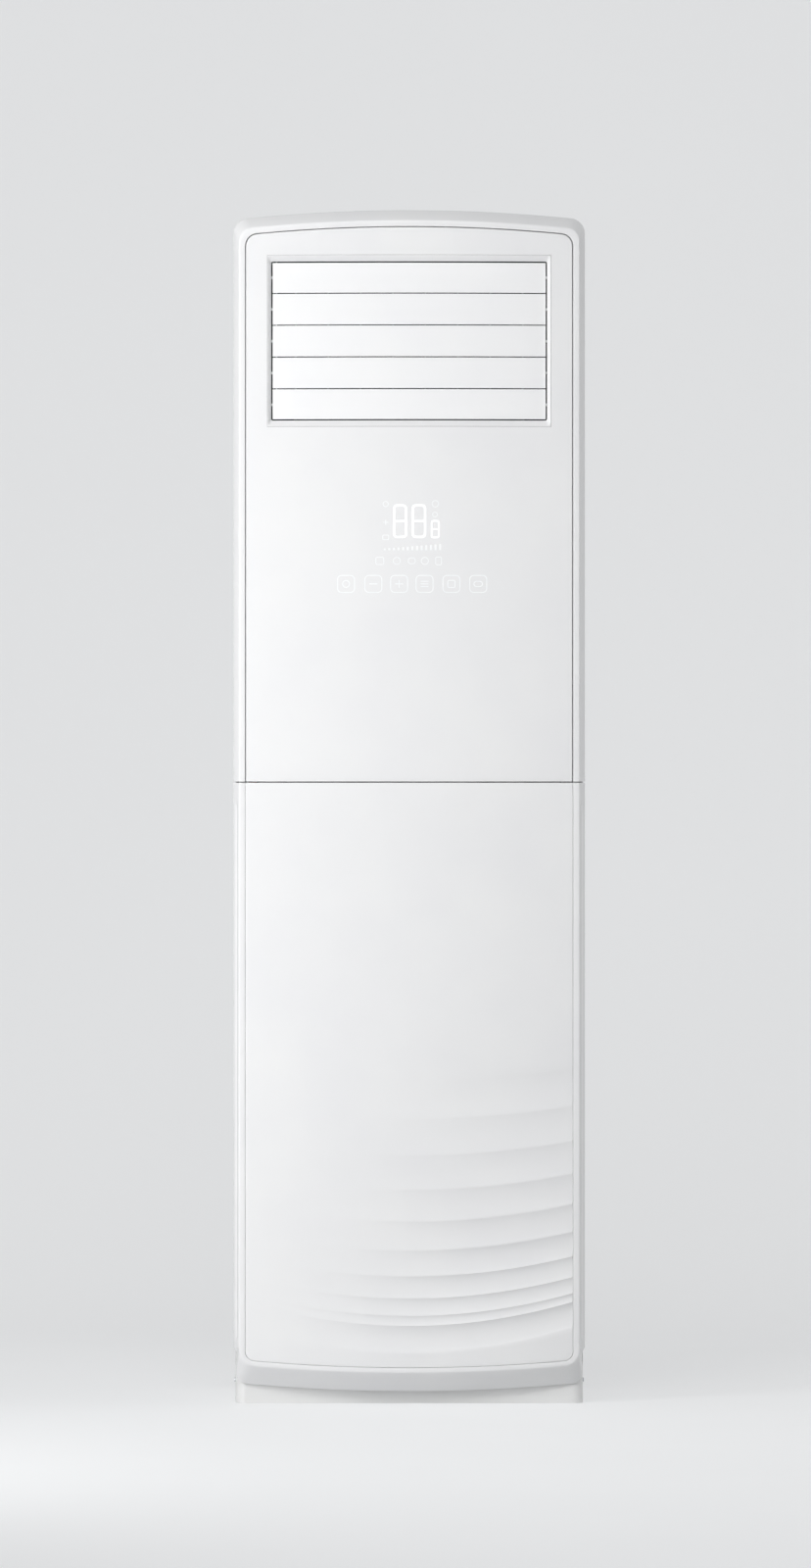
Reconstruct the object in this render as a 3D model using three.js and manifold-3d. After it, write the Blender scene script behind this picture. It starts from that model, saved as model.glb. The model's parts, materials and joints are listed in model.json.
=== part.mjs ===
// Floor standing air conditioner, cabinet type, in millimetres.
// +Z is up, the front faces -Y, and the origin is on the floor under the middle of the cabinet.
import * as THREE from "three";
import { mergeVertices } from "three/addons/utils/BufferGeometryUtils.js";
import Module from "manifold-3d";

// Whole object
const WIDTH = 540;
const HEIGHT = 1830;
const DEPTH = 400; // from the crown of the front to the wall behind the bracket
const CLEARANCE = 0.3; // between pieces that touch
const SHEET = 1.2; // steel sheet of the cabinet
const MOULDED_WALL = 3; // wall of the moulded covers

// Front: bowed in plan, arched at the top and the bottom
const BOW_RADIUS = 2240;
const TOP_ARCH_RADIUS = 2680;
const BOTTOM_ARCH_RADIUS = 2945;
const RIM_BOTTOM = 19.8;
const BEVEL_SIDE = 9;
const BEVEL_TOP = 16.5;
const BEVEL_BOTTOM = 29.5;
const BEVEL_DEPTH = 20;
const LIP_SIDE = 9.5;
const LIP_TOP = 9;
const LIP_BOTTOM = 7.2;
const PANEL_GAP = 1.5;
const PANEL_RETURN = 12; // depth of the panels' edge walls
const LEDGE_REACH = 6; // how far the rim's ledge reaches under the panels
const LEDGE_THICK = 2;
const RIM_CORNER_TOP = 24;
const RIM_CORNER_BOTTOM = 38;
const LIP_CORNER_TOP = 20;
const LIP_CORNER_BOTTOM = 24;
const PANEL_CORNER_TOP = 18;
const PANEL_CORNER_BOTTOM = 13;
const RIM_DEPTH = 60; // from the crown of the front to the back edge of the rim
const RIM_FLANGE = 14;
const SEAM_HEIGHT = 953.3;
const SEAM_GAP = 1.6;
const SLIT_WIDTH = 4.2; // air slit in the bevel, beside the rim's outer wall
const SLIT_BOTTOM = 100;
const SLIT_BELOW_SEAM = 33.3;

// Flutes of the lower panel
const FLUTE_COUNT = 10;
const FLUTE_LOWEST = 121;
const FLUTE_SPAN = 375.8;
const FLUTE_CROWDING = 1.46; // how quickly the flutes close up towards the bottom
const FLUTE_RISE_FIRST = 18; // rise of a crest from the middle to the panel's edge
const FLUTE_RISE_LAST = 36;
const FLUTE_DEPTH = 2.6;
const FLUTE_DEPTH_LEAST = 0.35; // depth of the top flute, as a share of the bottom one's
const FLUTE_DEPTH_LEFT = 0.25; // depth at the left edge, as a share of the middle's
const FLUTE_STEP = 3.5; // height of the undercut below a crest
const FLUTE_BELLY = 0.32; // depth half way up a flute, as a share of the undercut's
const FLUTE_SKIN = 5.5;

// Cabinet
const BODY_STEP = 3; // how far the cabinet's sides stand in from the rim's
const PLINTH_SETBACK = 38;
const PLINTH_CORNER = 17;
const BASE_HEIGHT = 62;
const BASE_FLOOR = 4;
const BASE_RIB = 4;
const BASE_RIB_INSET = 120;
const ANCHOR_INSET = 60;
const ANCHOR_HOLE = 12;
const BODY_FLANGE = 12;
const COVER_DROP = 3; // the sheet cover sits this much lower than the rim
const COVER_SKIRT = 60;
const BRACKET_STANDOFF = 12;
const BRACKET_WIDTH = 90;
const BRACKET_HEIGHT = 50;
const BRACKET_PAD = 36;
const BRACKET_SHEET = 2;
const BRACKET_BELOW_TOP = 110;
const PIPE_PORT_WIDTH = 90;
const PIPE_PORT_HEIGHT = 70;
const PIPE_PORT_BOTTOM = 105;
const PIPE_PORT_INSET = 30;
const BEAD_PITCH = 150; // stiffening beads of the rear panel
const BEAD_WIDTH = 18;
const BEAD_FLANK = 4;
const BEAD_DEPTH = 3;
const BEAD_FROM_BASE = 160;
const BEAD_FROM_SKIRT = 130;

// Side intakes
const INTAKE_BOTTOM = 110;
const INTAKE_BELOW_SHELF = 15;
const INTAKE_FRONT = 14; // from the rim's back edge
const INTAKE_DEPTH = 180;
const GRILLE_BORDER = 7;
const GRILLE_FLANGE = 2.4;
const GRILLE_REACH = 13;
const GRILLE_WALL = 2;
const SLAT_COUNT = 20;
const SLAT_THICK = 3;
const SLAT_TILT = 0.6;
const FILTER_THICK = 4;
const FILTER_BORDER = 8;
const FILTER_BARS = 6;

// Outlet and its blades
const OUTLET_MARGIN = 52.7; // from the rim's side to the outlet
const OUTLET_HEIGHT = 262.5;
const OUTLET_BELOW_TOP = 69.5;
const OUTLET_BEVEL_SIDE = 5.8;
const OUTLET_BEVEL_TALL = 9.4;
const OUTLET_BEVEL_DEPTH = 7;
const OUTLET_EDGE = 1;
const OUTLET_WALL = 2.6;
const OUTLET_FRAME_DEPTH = 120;
const BLADE_COUNT = 5;
const BLADE_GAP = 1.2;
const BLADE_THICK = 2.5;
const BLADE_SETBACK = 0.6;
const BLADE_AXIS_DEPTH = 4; // pivot axis behind the face, at the ends of a blade
const PIVOT_RADIUS = 2;
const PIVOT_PLAY = 0.35;
const CRANK_PIN_RADIUS = 1.7;
const CRANK_BACK = 7;
const CRANK_UP = 26.5;
const CRANK_INSET = 8;
const LINK_THICK = 2.5;
const LINK_WIDTH = 5.5;
const LINK_PLAY = 0.55;
const LINK_LIFT = 3; // above the foot of the vanes
const MOTOR_RADIUS = 14;
const MOTOR_OFFSET = 8; // from the shaft to the middle of the motor
const MOTOR_LENGTH = 19;
const MOTOR_LUG_INSET = 3.5; // from the motor's side to the hole in its lug
const MOTOR_LUG_WIDTH = 8;

// Upright vanes
const VANE_COUNT = 8;
const VANE_MARGIN = 42.3; // from the outlet's side to the first vane
const VANE_CHORD = 48;
const VANE_THICK = 2;
const VANE_AXIS_FROM_BACK = 34;
const VANE_NOTCH = 10;
const VANE_END_GAP = 0.8;
const VANE_CRANK = 18;
const RAIL_HEIGHT = 6;
const RAIL_WIDTH = 22;

// Air path and coil
const DUCT_WALL = 8;
const DUCT_FRONT_DEPTH = 82; // front wall of the duct, behind the crown of the front
const DUCT_SCOOP = 150; // outer radius of the scoop at the top
const DUCT_THROAT = 60; // height of the front wall's slope below the outlet
const SHELF_HEIGHT = 925;
const SHELF_FLANGE = 14;
const COIL_THICK = 44;
const COIL_FOOT_DEPTH = 122; // behind the crown of the front
const COIL_FOOT_ABOVE_SHELF = 35;
const COIL_TOP_FROM_REAR = 61.5662;
const COIL_TOP_BELOW_OUTLET = 114.7899;
const FIN_SLOTS = 17;
const FIN_SLOT = 6;
const FIN_CORE = 14;
const COIL_PLATE = 2;
const COIL_PLATE_MARGIN = 4;
const COIL_FOOT_INSET = 4;
const COIL_FOOT_LAP = 12; // how far the foot laps up over the plate
const BEND_COUNT = 5;
const TUBE_RADIUS = 4.8;
const PAN_DEPTH = 30;
const PAN_BESIDE_COIL = 15;
const PAN_REACH = 100;
const PAN_WALL = 3;
const SPOUT_RADIUS = 8;
const SPOUT_LENGTH = 22;
const SPOUT_INSET = 30; // from the pan's end to the middle of its spout
const GAS_RADIUS = 8;
const LIQUID_RADIUS = 4.8;
const PIPE_FROM_SIDE = 20.8;
const PIPE_BESIDE_COIL = 25;
const GAS_PIPE_FROM_REAR = 36;
const LIQUID_PIPE_FROM_REAR = 66;
const UNION_HEIGHT = 180;
const GAS_PIPE_BELOW_COIL_TOP = 70;
const LIQUID_PIPE_UP = 200; // from the foot of the coil

// Blower
const WHEEL_RADIUS = 160;
const WHEEL_WIDTH = 116;
const WHEEL_SETBACK = 14; // behind the front of the scroll
const WHEEL_HEIGHT = 440;
const WHEEL_BLADES = 20;
const WHEEL_BLADE_CHORD = 30;
const WHEEL_RING = 3;
const WHEEL_BACK_PLATE = 3;
const HUB_RADIUS = 24;
const HUB_LENGTH = 34;
const NUT_THICK = 9;
const SHAFT_RADIUS = 6;
const SCROLL_START = 178;
const SCROLL_FROM_GRILLE = 19.8;
const SCROLL_WALL = 2.5;
const SCROLL_FROM_REAR = 224;
const SCROLL_WIDTH = 142;
const SCROLL_TONGUE = 1.95; // angle of the cut-off, from +X towards +Z
const NECK_LEFT = 150;
const INLET_RADIUS = 138;
const INLET_DEPTH = 16;
const FAN_MOTOR_RADIUS = 58;
const FAN_MOTOR_LENGTH = 52;
const MOTOR_BOSS_RADIUS = 22;
const MOTOR_BOSS_LENGTH = 5;
const SHAFT_IN_MOTOR = 26;
const BRACKET_PLATE = 3;

// Electrics
const BOX_WIDTH = 330;
const BOX_ABOVE_SHELF = 75;
const BOX_HEIGHT = 210;
const BOX_WALL = 1.5;
const BOX_FRONT_DEPTH = 24; // behind the crown of the front
const BOARD_THICK = 1.6;
const BOARD_WIDTH = 200;
const BOARD_HEIGHT = 160;
const BOARD_STANDOFF = 8;
const PART_INSET = 12; // from the board's edges to its relays and plugs
const RELAY = { width: 18, pitch: 24, tall: 26, deep: 16 };
const TRANSFORMER = { width: 44, tall: 40, deep: 26, inset: 20, fromTop: 24 };
const SINK = { width: 30, tall: 74, deep: 22, left: 98, bottom: 58, fin: 3, pitch: 7, base: 4 };
const PLUG = { width: 16, pitch: 22, tall: 10, deep: 8, left: 96 };
const TERMINAL_WIDTH = 72;
const TERMINAL_WAYS = 6;
const CAPACITOR_RADIUS = 17;
const CAPACITOR_LENGTH = 62;
const CAPACITOR_ABOVE_BOX = 90; // from the floor of the box to the capacitor's middle
const DISPLAY_BELOW_OUTLET = 256;
const DISPLAY_HEIGHT = 152;
const DISPLAY_WIDTH = 240;
const DIGITS_HALF = 50;
const DIGITS_HEIGHT = 112;
const KEY_COUNT = 6;
const KEY_PITCH = 40.4;
const KEY_MIDDLE = 4.5;
const KEY_RADIUS = 9;
const KEY_HEIGHT = 14;

// Places worked out from the sizes above
const FRONT_Y = -DEPTH / 2;
const WALL_Y = DEPTH / 2;
const REAR_Y = WALL_Y - BRACKET_STANDOFF;
const RIM_BACK_Y = FRONT_Y + RIM_DEPTH;
const PLINTH_Y = FRONT_Y + PLINTH_SETBACK;
const CABINET_FRONT_Y = RIM_BACK_Y + CLEARANCE;
const CABINET_REAR_Y = REAR_Y - SHEET - CLEARANCE;
const PANEL_HALF = WIDTH / 2 - BEVEL_SIDE - LIP_SIDE - PANEL_GAP;
const PANEL_TOP = HEIGHT - BEVEL_TOP - LIP_TOP - PANEL_GAP;
const PANEL_BOTTOM = RIM_BOTTOM + BEVEL_BOTTOM + LIP_BOTTOM + PANEL_GAP;
const KNEE_HEIGHT = RIM_BOTTOM + BEVEL_BOTTOM + RIM_CORNER_BOTTOM; // above it the rim is full depth
const BODY_HALF = WIDTH / 2 - BODY_STEP;
const BODY_INSIDE = BODY_HALF - SHEET;
const SKIRT_HEIGHT = HEIGHT - COVER_DROP - COVER_SKIRT;
const OUTLET_TOP = HEIGHT - OUTLET_BELOW_TOP;
const OUTLET_BOTTOM = OUTLET_TOP - OUTLET_HEIGHT;
const OUTLET_HALF = WIDTH / 2 - OUTLET_MARGIN;
const OPENING_HALF = OUTLET_HALF - OUTLET_BEVEL_SIDE;
const OPENING_BOTTOM = OUTLET_BOTTOM + OUTLET_BEVEL_TALL;
const OPENING_HEIGHT = OUTLET_HEIGHT - 2 * OUTLET_BEVEL_TALL;
const FRAME_BACK_Y = FRONT_Y + OUTLET_FRAME_DEPTH;
const BLADE_PITCH = OPENING_HEIGHT / BLADE_COUNT;
const BLADE_FACE_DEPTH = OUTLET_BEVEL_DEPTH + OUTLET_EDGE + BLADE_SETBACK;
const BLADE_AXIS_Y = FRONT_Y + BLADE_FACE_DEPTH + BLADE_AXIS_DEPTH + bowDrop(OPENING_HALF);
const CRANK_X = CRANK_INSET - OPENING_HALF;
const LINK_X = CRANK_X - LINK_THICK - CLEARANCE;
const VANE_AXIS_Y = FRAME_BACK_Y - VANE_AXIS_FROM_BACK;
const RAIL_BOTTOM = OUTLET_BOTTOM + OUTLET_WALL + CLEARANCE;
const RAIL_TOP = OUTLET_TOP - OUTLET_WALL - CLEARANCE;
const VANE_FOOT = RAIL_BOTTOM + RAIL_HEIGHT + VANE_END_GAP;
const VANE_TALL = RAIL_TOP - RAIL_HEIGHT - VANE_END_GAP - VANE_FOOT;
const VANE_PITCH = (2 * (OUTLET_HALF - VANE_MARGIN)) / (VANE_COUNT - 1);
const DUCT_FOOT = SHELF_HEIGHT + SHEET + CLEARANCE + PAN_DEPTH + CLEARANCE;
const PIPE_DROP_X = BODY_INSIDE - PIPE_FROM_SIDE;
const GAS_PIPE_Y = REAR_Y - GAS_PIPE_FROM_REAR;
const LIQUID_PIPE_Y = REAR_Y - LIQUID_PIPE_FROM_REAR;
const COIL_HALF = PIPE_DROP_X - PIPE_BESIDE_COIL;
const COIL_FOOT_Y = FRONT_Y + COIL_FOOT_DEPTH;
const COIL_FOOT_HEIGHT = SHELF_HEIGHT + COIL_FOOT_ABOVE_SHELF;
const COIL_RUN = REAR_Y - COIL_TOP_FROM_REAR - COIL_FOOT_Y;
const COIL_RISE = OUTLET_BOTTOM - COIL_TOP_BELOW_OUTLET - COIL_FOOT_HEIGHT;
const COIL_LEAN = Math.atan2(COIL_RUN, COIL_RISE);
const COIL_LENGTH = Math.hypot(COIL_RUN, COIL_RISE);
const SCROLL_FRONT_Y = REAR_Y - SCROLL_FROM_REAR;
const SCROLL_END = BODY_HALF + CLEARANCE - GRILLE_REACH - SCROLL_FROM_GRILLE - SCROLL_WALL;
const FAN_MOTOR_Y = SCROLL_FRONT_Y + SCROLL_WIDTH + CLEARANCE + BRACKET_PLATE + CLEARANCE;
const BOX_FRONT_Y = FRONT_Y + BOX_FRONT_DEPTH;
const BOX_REAR_Y = FRONT_Y + DUCT_FRONT_DEPTH - CLEARANCE;
const BOX_BOTTOM = SHELF_HEIGHT + BOX_ABOVE_SHELF;
const DISPLAY_BOTTOM = OUTLET_BOTTOM - DISPLAY_BELOW_OUTLET;
const BOARD_LEFT = -BOX_WIDTH / 2 + 12;
const BOARD_BOTTOM = BOX_BOTTOM + 25;
const TERMINAL_LEFT = BOX_WIDTH / 2 - TERMINAL_WIDTH - 16;

const FAR = 4000; // larger than the object, for cutting tools

// ---- Solids -------------------------------------------------------------------------------

const wasm = await Module();
wasm.setup();

// Turns a closed geometry into a solid that can be joined and cut.
function solid(geometry) {
  const bare = geometry.index ? geometry.toNonIndexed() : geometry.clone();
  bare.deleteAttribute("normal");
  bare.deleteAttribute("uv");
  const merged = mergeVertices(bare, 1e-4);
  return new wasm.Manifold(
    new wasm.Mesh({
      numProp: 3,
      vertProperties: merged.attributes.position.array,
      triVerts: new Uint32Array(merged.index.array),
    }),
  );
}

function join(...parts) {
  return parts.reduce((sum, part) => sum.add(part));
}

function cut(body, ...tools) {
  return tools.reduce((rest, tool) => rest.subtract(tool), body);
}

// Extrudes an outline along an axis: (y, z) along x, (x, z) along y, or (x, y) along z.
function prism(axis, points, from, to) {
  const shape = new THREE.Shape(points.map(([u, v]) => new THREE.Vector2(u, v)));
  const geometry = new THREE.ExtrudeGeometry(shape, { depth: to - from, bevelEnabled: false });
  if (axis === "x") {
    const [u, v, w] = [new THREE.Vector3(0, 1, 0), new THREE.Vector3(0, 0, 1), new THREE.Vector3(1, 0, 0)];
    geometry.applyMatrix4(new THREE.Matrix4().makeBasis(u, v, w));
    geometry.translate(from, 0, 0);
  } else if (axis === "y") {
    geometry.rotateX(Math.PI / 2);
    geometry.translate(0, to, 0);
  } else {
    geometry.translate(0, 0, from);
  }
  return solid(geometry);
}

function box(x0, x1, y0, y1, z0, z1) {
  const geometry = new THREE.BoxGeometry(x1 - x0, y1 - y0, z1 - z0);
  geometry.translate((x0 + x1) / 2, (y0 + y1) / 2, (z0 + z1) / 2);
  return solid(geometry);
}

// A round bar along an axis; a and b are its place on the two other axes, in x, y, z order.
function bar(axis, radius, from, to, a, b, sides = 16) {
  const geometry = new THREE.CylinderGeometry(radius, radius, to - from, sides);
  if (axis === "x") geometry.rotateZ(Math.PI / 2).translate((from + to) / 2, a, b);
  if (axis === "y") geometry.translate(a, (from + to) / 2, b);
  if (axis === "z") geometry.rotateX(Math.PI / 2).translate(a, b, (from + to) / 2);
  return solid(geometry);
}

// Points of a rectangle with rounded corners.
function roundedRectangle(u0, u1, v0, v1, radius, segments = 3) {
  const corners = [
    [u1 - radius, v1 - radius, 0],
    [u0 + radius, v1 - radius, 1],
    [u0 + radius, v0 + radius, 2],
    [u1 - radius, v0 + radius, 3],
  ];
  return corners.flatMap(([u, v, quarter]) =>
    Array.from({ length: segments + 1 }, (_, i) => {
      const angle = (quarter + i / segments) * (Math.PI / 2);
      return [u + radius * Math.cos(angle), v + radius * Math.sin(angle)];
    }),
  );
}

// Skins a closed ring through loops of equal length; the last loop joins the first.
function skinRing(loops) {
  const count = loops[0].length;
  const index = [];
  loops.forEach((_, i) => {
    const j = (i + 1) % loops.length;
    for (let k = 0; k < count; k += 1) {
      const l = (k + 1) % count;
      index.push(i * count + k, j * count + k, j * count + l);
      index.push(i * count + k, j * count + l, i * count + l);
    }
  });
  const geometry = new THREE.BufferGeometry();
  geometry.setAttribute("position", new THREE.Float32BufferAttribute(loops.flat(2), 3));
  geometry.setIndex(index);
  return solid(geometry);
}

// A bent tube of the given radius through the points, with rounded bends.
function tube(points, radius, bend, sides, steps) {
  const path = new THREE.CurvePath();
  const nodes = points.map((point) => new THREE.Vector3(...point));
  let start = nodes[0];
  nodes.slice(1, -1).forEach((corner, i) => {
    const before = corner.clone().add(nodes[i].clone().sub(corner).setLength(bend));
    const after = corner.clone().add(nodes[i + 2].clone().sub(corner).setLength(bend));
    path.add(new THREE.LineCurve3(start, before));
    path.add(new THREE.QuadraticBezierCurve3(before, corner, after));
    start = after;
  });
  path.add(new THREE.LineCurve3(start, nodes.at(-1)));
  const section = new THREE.Shape(
    Array.from({ length: sides }, (_, i) => {
      const angle = (i / sides) * 2 * Math.PI;
      return new THREE.Vector2(radius * Math.cos(angle), radius * Math.sin(angle));
    }),
  );
  return solid(new THREE.ExtrudeGeometry(section, { extrudePath: path, steps }));
}

// ---- Materials ------------------------------------------------------------------------------

function finish(color, roughness, metalness) {
  return () => new THREE.MeshStandardMaterial({ color, roughness, metalness, side: THREE.DoubleSide });
}

const whiteGloss = finish("#f6f6f6", 0.3, 0);
const whitePaint = finish("#f0f0ef", 0.45, 0);
const zincSheet = finish("#b9bcbe", 0.45, 0.8);
const aluminium = finish("#d5d8da", 0.4, 0.9);
const copper = finish("#b87850", 0.35, 0.9);
const brass = finish("#c9a860", 0.35, 0.9);
const greyPlastic = finish("#8d9194", 0.6, 0);
const darkPlastic = finish("#33363a", 0.6, 0);
const foam = finish("#e9e9e4", 0.9, 0);
const boardGreen = finish("#2f6b46", 0.5, 0);

// Makes a named mesh of a solid.
function piece(name, body, material) {
  const made = body.getMesh();
  const geometry = new THREE.BufferGeometry();
  geometry.setAttribute("position", new THREE.BufferAttribute(new Float32Array(made.vertProperties), 3));
  geometry.setIndex(new THREE.BufferAttribute(new Uint32Array(made.triVerts), 1));
  geometry.computeVertexNormals();
  const mesh = new THREE.Mesh(geometry, material());
  mesh.name = name;
  return mesh;
}

function group(...members) {
  const made = new THREE.Group();
  made.add(...members);
  return made;
}

// ---- Front --------------------------------------------------------------------------------

// How far the bowed front falls back at a distance from the middle.
function bowDrop(x) {
  return BOW_RADIUS - Math.sqrt(BOW_RADIUS ** 2 - x ** 2);
}

// Depth of the bowed surface at a distance from the middle.
function bowY(x, back = 0) {
  return FRONT_Y + back + bowDrop(x);
}

// A slab that follows the bow, between two depths behind the front surface.
function bowSlab(front, back, half = WIDTH / 2, segments = 12) {
  const xs = Array.from({ length: segments + 1 }, (_, i) => -half + (2 * half * i) / segments);
  const face = xs.map((x) => [x, bowY(x, front)]);
  const rear = xs.map((x) => [x, bowY(x, back)]).reverse();
  return prism("z", [...face, ...rear], 0, HEIGHT + BEVEL_TOP);
}

// One arched end of the front's outline, with its apex at the given height, from right to left.
function archedEnd(half, apex, archRadius, corner) {
  const cornerSteps = 4;
  const archSteps = 10;
  const archCentre = apex - archRadius;
  const cx = half - corner;
  const cz = archCentre + Math.sqrt((archRadius - corner) ** 2 - cx ** 2);
  const turn = Math.atan2(cz - archCentre, cx);
  const right = [];
  for (let i = 0; i <= cornerSteps; i += 1) {
    const angle = (turn * i) / cornerSteps;
    right.push([cx + corner * Math.cos(angle), cz + corner * Math.sin(angle)]);
  }
  const arch = [];
  for (let i = 1; i < archSteps; i += 1) {
    const angle = turn + ((Math.PI - 2 * turn) * i) / archSteps;
    arch.push([archRadius * Math.cos(angle), archCentre + archRadius * Math.sin(angle)]);
  }
  const left = right.map(([x, z]) => [-x, z]).reverse();
  return [...right, ...arch, ...left];
}

// Outline of the front, anticlockwise from the right side, with a knee on each upright side.
function frontOutline(half, top, bottom, topCorner, bottomCorner) {
  const upper = archedEnd(half, top, TOP_ARCH_RADIUS, topCorner);
  const lower = archedEnd(half, -bottom, BOTTOM_ARCH_RADIUS, bottomCorner).map(([x, z]) => [-x, -z]);
  return [...upper, [-half, KNEE_HEIGHT], ...lower, [half, KNEE_HEIGHT]];
}

function rimOutline(inset) {
  return frontOutline(
    WIDTH / 2 - inset,
    HEIGHT - inset,
    RIM_BOTTOM + inset,
    RIM_CORNER_TOP - Math.min(inset, RIM_CORNER_TOP / 2),
    RIM_CORNER_BOTTOM - Math.min(inset, RIM_CORNER_BOTTOM / 2),
  );
}

function lipOutline(inset) {
  return frontOutline(
    WIDTH / 2 - BEVEL_SIDE - inset,
    HEIGHT - BEVEL_TOP - inset,
    RIM_BOTTOM + BEVEL_BOTTOM + inset,
    LIP_CORNER_TOP,
    LIP_CORNER_BOTTOM,
  );
}

function panelOutline(outset) {
  return frontOutline(
    PANEL_HALF + outset,
    PANEL_TOP + outset,
    PANEL_BOTTOM - outset,
    PANEL_CORNER_TOP + Math.max(outset, 0),
    PANEL_CORNER_BOTTOM + Math.max(outset, 0),
  );
}

// The bevelled rim round the front, one moulded section skinned round the outline.
function rim() {
  const onBow = (outline, back) => outline.map(([x, z]) => [x, bowY(x, back), z]);
  const rearEdge = (z) => (z < KNEE_HEIGHT ? PLINTH_Y - CLEARANCE : RIM_BACK_Y);
  const atRear = (outline, forward) => outline.map(([x, z]) => [x, rearEdge(z) - forward, z]);
  const ledge = PANEL_RETURN + CLEARANCE;
  return skinRing([
    onBow(panelOutline(-LEDGE_REACH), ledge),
    onBow(panelOutline(PANEL_GAP), ledge),
    onBow(panelOutline(PANEL_GAP), 0),
    onBow(lipOutline(0), 0),
    onBow(rimOutline(0), BEVEL_DEPTH),
    atRear(rimOutline(0), 0),
    atRear(rimOutline(RIM_FLANGE), 0),
    atRear(rimOutline(RIM_FLANGE), LEDGE_THICK),
    atRear(rimOutline(MOULDED_WALL), LEDGE_THICK),
    onBow(rimOutline(MOULDED_WALL), BEVEL_DEPTH + 1),
    onBow(lipOutline(LEDGE_THICK), MOULDED_WALL),
    onBow(panelOutline(PANEL_GAP + LEDGE_THICK), MOULDED_WALL),
    onBow(panelOutline(PANEL_GAP + LEDGE_THICK), ledge + LEDGE_THICK),
    onBow(panelOutline(-LEDGE_REACH), ledge + LEDGE_THICK),
  ]);
}

function upperFrame() {
  const above = box(-FAR, FAR, -FAR, FAR, SEAM_HEIGHT + SEAM_GAP / 2, FAR);
  return rim().intersect(above);
}

function lowerFrame() {
  const below = box(-FAR, FAR, -FAR, FAR, -FAR, SEAM_HEIGHT - SEAM_GAP / 2);
  const slitOuter = WIDTH / 2 - MOULDED_WALL;
  const slitTop = SEAM_HEIGHT - SLIT_BELOW_SEAM;
  const slits = [-1, 1].map((side) => {
    const [inner, outer] = [side * (slitOuter - SLIT_WIDTH), side * slitOuter].sort((a, b) => a - b);
    const outline = roundedRectangle(inner, outer, SLIT_BOTTOM, slitTop, SLIT_WIDTH / 2 - 0.1);
    return prism("y", outline, FRONT_Y, RIM_BACK_Y - LEDGE_THICK - 1);
  });
  return cut(rim().intersect(below), ...slits);
}

// Height of a crest at a distance from the middle; the one after the last ends the bottom flute.
function crestHeight(i, x) {
  const t = i / (FLUTE_COUNT - 1);
  const below = ((FLUTE_LOWEST - PANEL_BOTTOM) * 2) / 3;
  const middle =
    i < FLUTE_COUNT ? FLUTE_LOWEST + FLUTE_SPAN * (1 - t) ** FLUTE_CROWDING : FLUTE_LOWEST - below;
  const rise = FLUTE_RISE_FIRST + (FLUTE_RISE_LAST - FLUTE_RISE_FIRST) * t;
  return middle + rise * (x / PANEL_HALF) ** 2;
}

// Depth of the undercut below a crest: less at the top, and fading out on the left.
function fluteDepth(i, x) {
  const fade = THREE.MathUtils.smoothstep(x, -PANEL_HALF, 0);
  const grow = THREE.MathUtils.lerp(FLUTE_DEPTH_LEAST, 1, i / (FLUTE_COUNT - 1));
  return FLUTE_DEPTH * grow * THREE.MathUtils.lerp(FLUTE_DEPTH_LEFT, 1, fade);
}

// A closed solid whose front is the bowed and fluted surface, with rows that follow the crests.
function flutedBlock() {
  const columns = 10;
  const reach = PANEL_HALF + LEDGE_REACH;
  const xs = Array.from({ length: columns + 1 }, (_, i) => -reach + (2 * reach * i) / columns);
  const rows = [xs.map((x) => [x, bowY(x), 0])];
  for (let i = FLUTE_COUNT - 1; i >= 0; i -= 1) {
    const low = (x) => crestHeight(i + 1, x);
    const high = (x) => crestHeight(i, x) - FLUTE_STEP;
    const middle = (x) => (low(x) + high(x)) / 2;
    rows.push(xs.map((x) => [x, bowY(x), low(x)]));
    rows.push(xs.map((x) => [x, bowY(x, fluteDepth(i, x) * FLUTE_BELLY), middle(x)]));
    rows.push(xs.map((x) => [x, bowY(x, fluteDepth(i, x)), high(x)]));
  }
  rows.push(xs.map((x) => [x, bowY(x), crestHeight(0, x)]));
  rows.push(xs.map((x) => [x, bowY(x), HEIGHT]));
  const front = rows.flat();
  const back = front.map(([x, , z]) => [x, 0, z]);
  const width = xs.length;
  const index = [];
  const quad = (a, b, c, d) => index.push(a, b, c, a, c, d);
  for (let r = 0; r < rows.length - 1; r += 1) {
    for (let c = 0; c < columns; c += 1) {
      const a = r * width + c;
      quad(a, a + 1, a + width + 1, a + width);
      quad(a + front.length, a + front.length + width, a + front.length + width + 1, a + front.length + 1);
    }
    const [left, right] = [r * width, r * width + columns];
    quad(left, left + width, left + width + front.length, left + front.length);
    quad(right, right + front.length, right + width + front.length, right + width);
  }
  const last = (rows.length - 1) * width;
  for (let c = 0; c < columns; c += 1) {
    quad(c, c + front.length, c + 1 + front.length, c + 1);
    quad(last + c, last + c + 1, last + c + 1 + front.length, last + c + front.length);
  }
  const geometry = new THREE.BufferGeometry();
  geometry.setAttribute("position", new THREE.Float32BufferAttribute([...front, ...back].flat(), 3));
  geometry.setIndex(index);
  return solid(geometry);
}

function lowerPanel() {
  const top = SEAM_HEIGHT - SEAM_GAP / 2;
  const below = box(-FAR, FAR, -FAR, FAR, -FAR, top);
  const skin = flutedBlock().intersect(prism("y", panelOutline(0), -FAR, FAR)).intersect(below);
  const shell = skin.intersect(bowSlab(-1, PANEL_RETURN));
  const hollow = prism("y", panelOutline(-MOULDED_WALL), -FAR, FAR)
    .intersect(box(-FAR, FAR, -FAR, FAR, -FAR, top - MOULDED_WALL))
    .intersect(bowSlab(FLUTE_SKIN, PANEL_RETURN + 5));
  return cut(shell, hollow);
}

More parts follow.
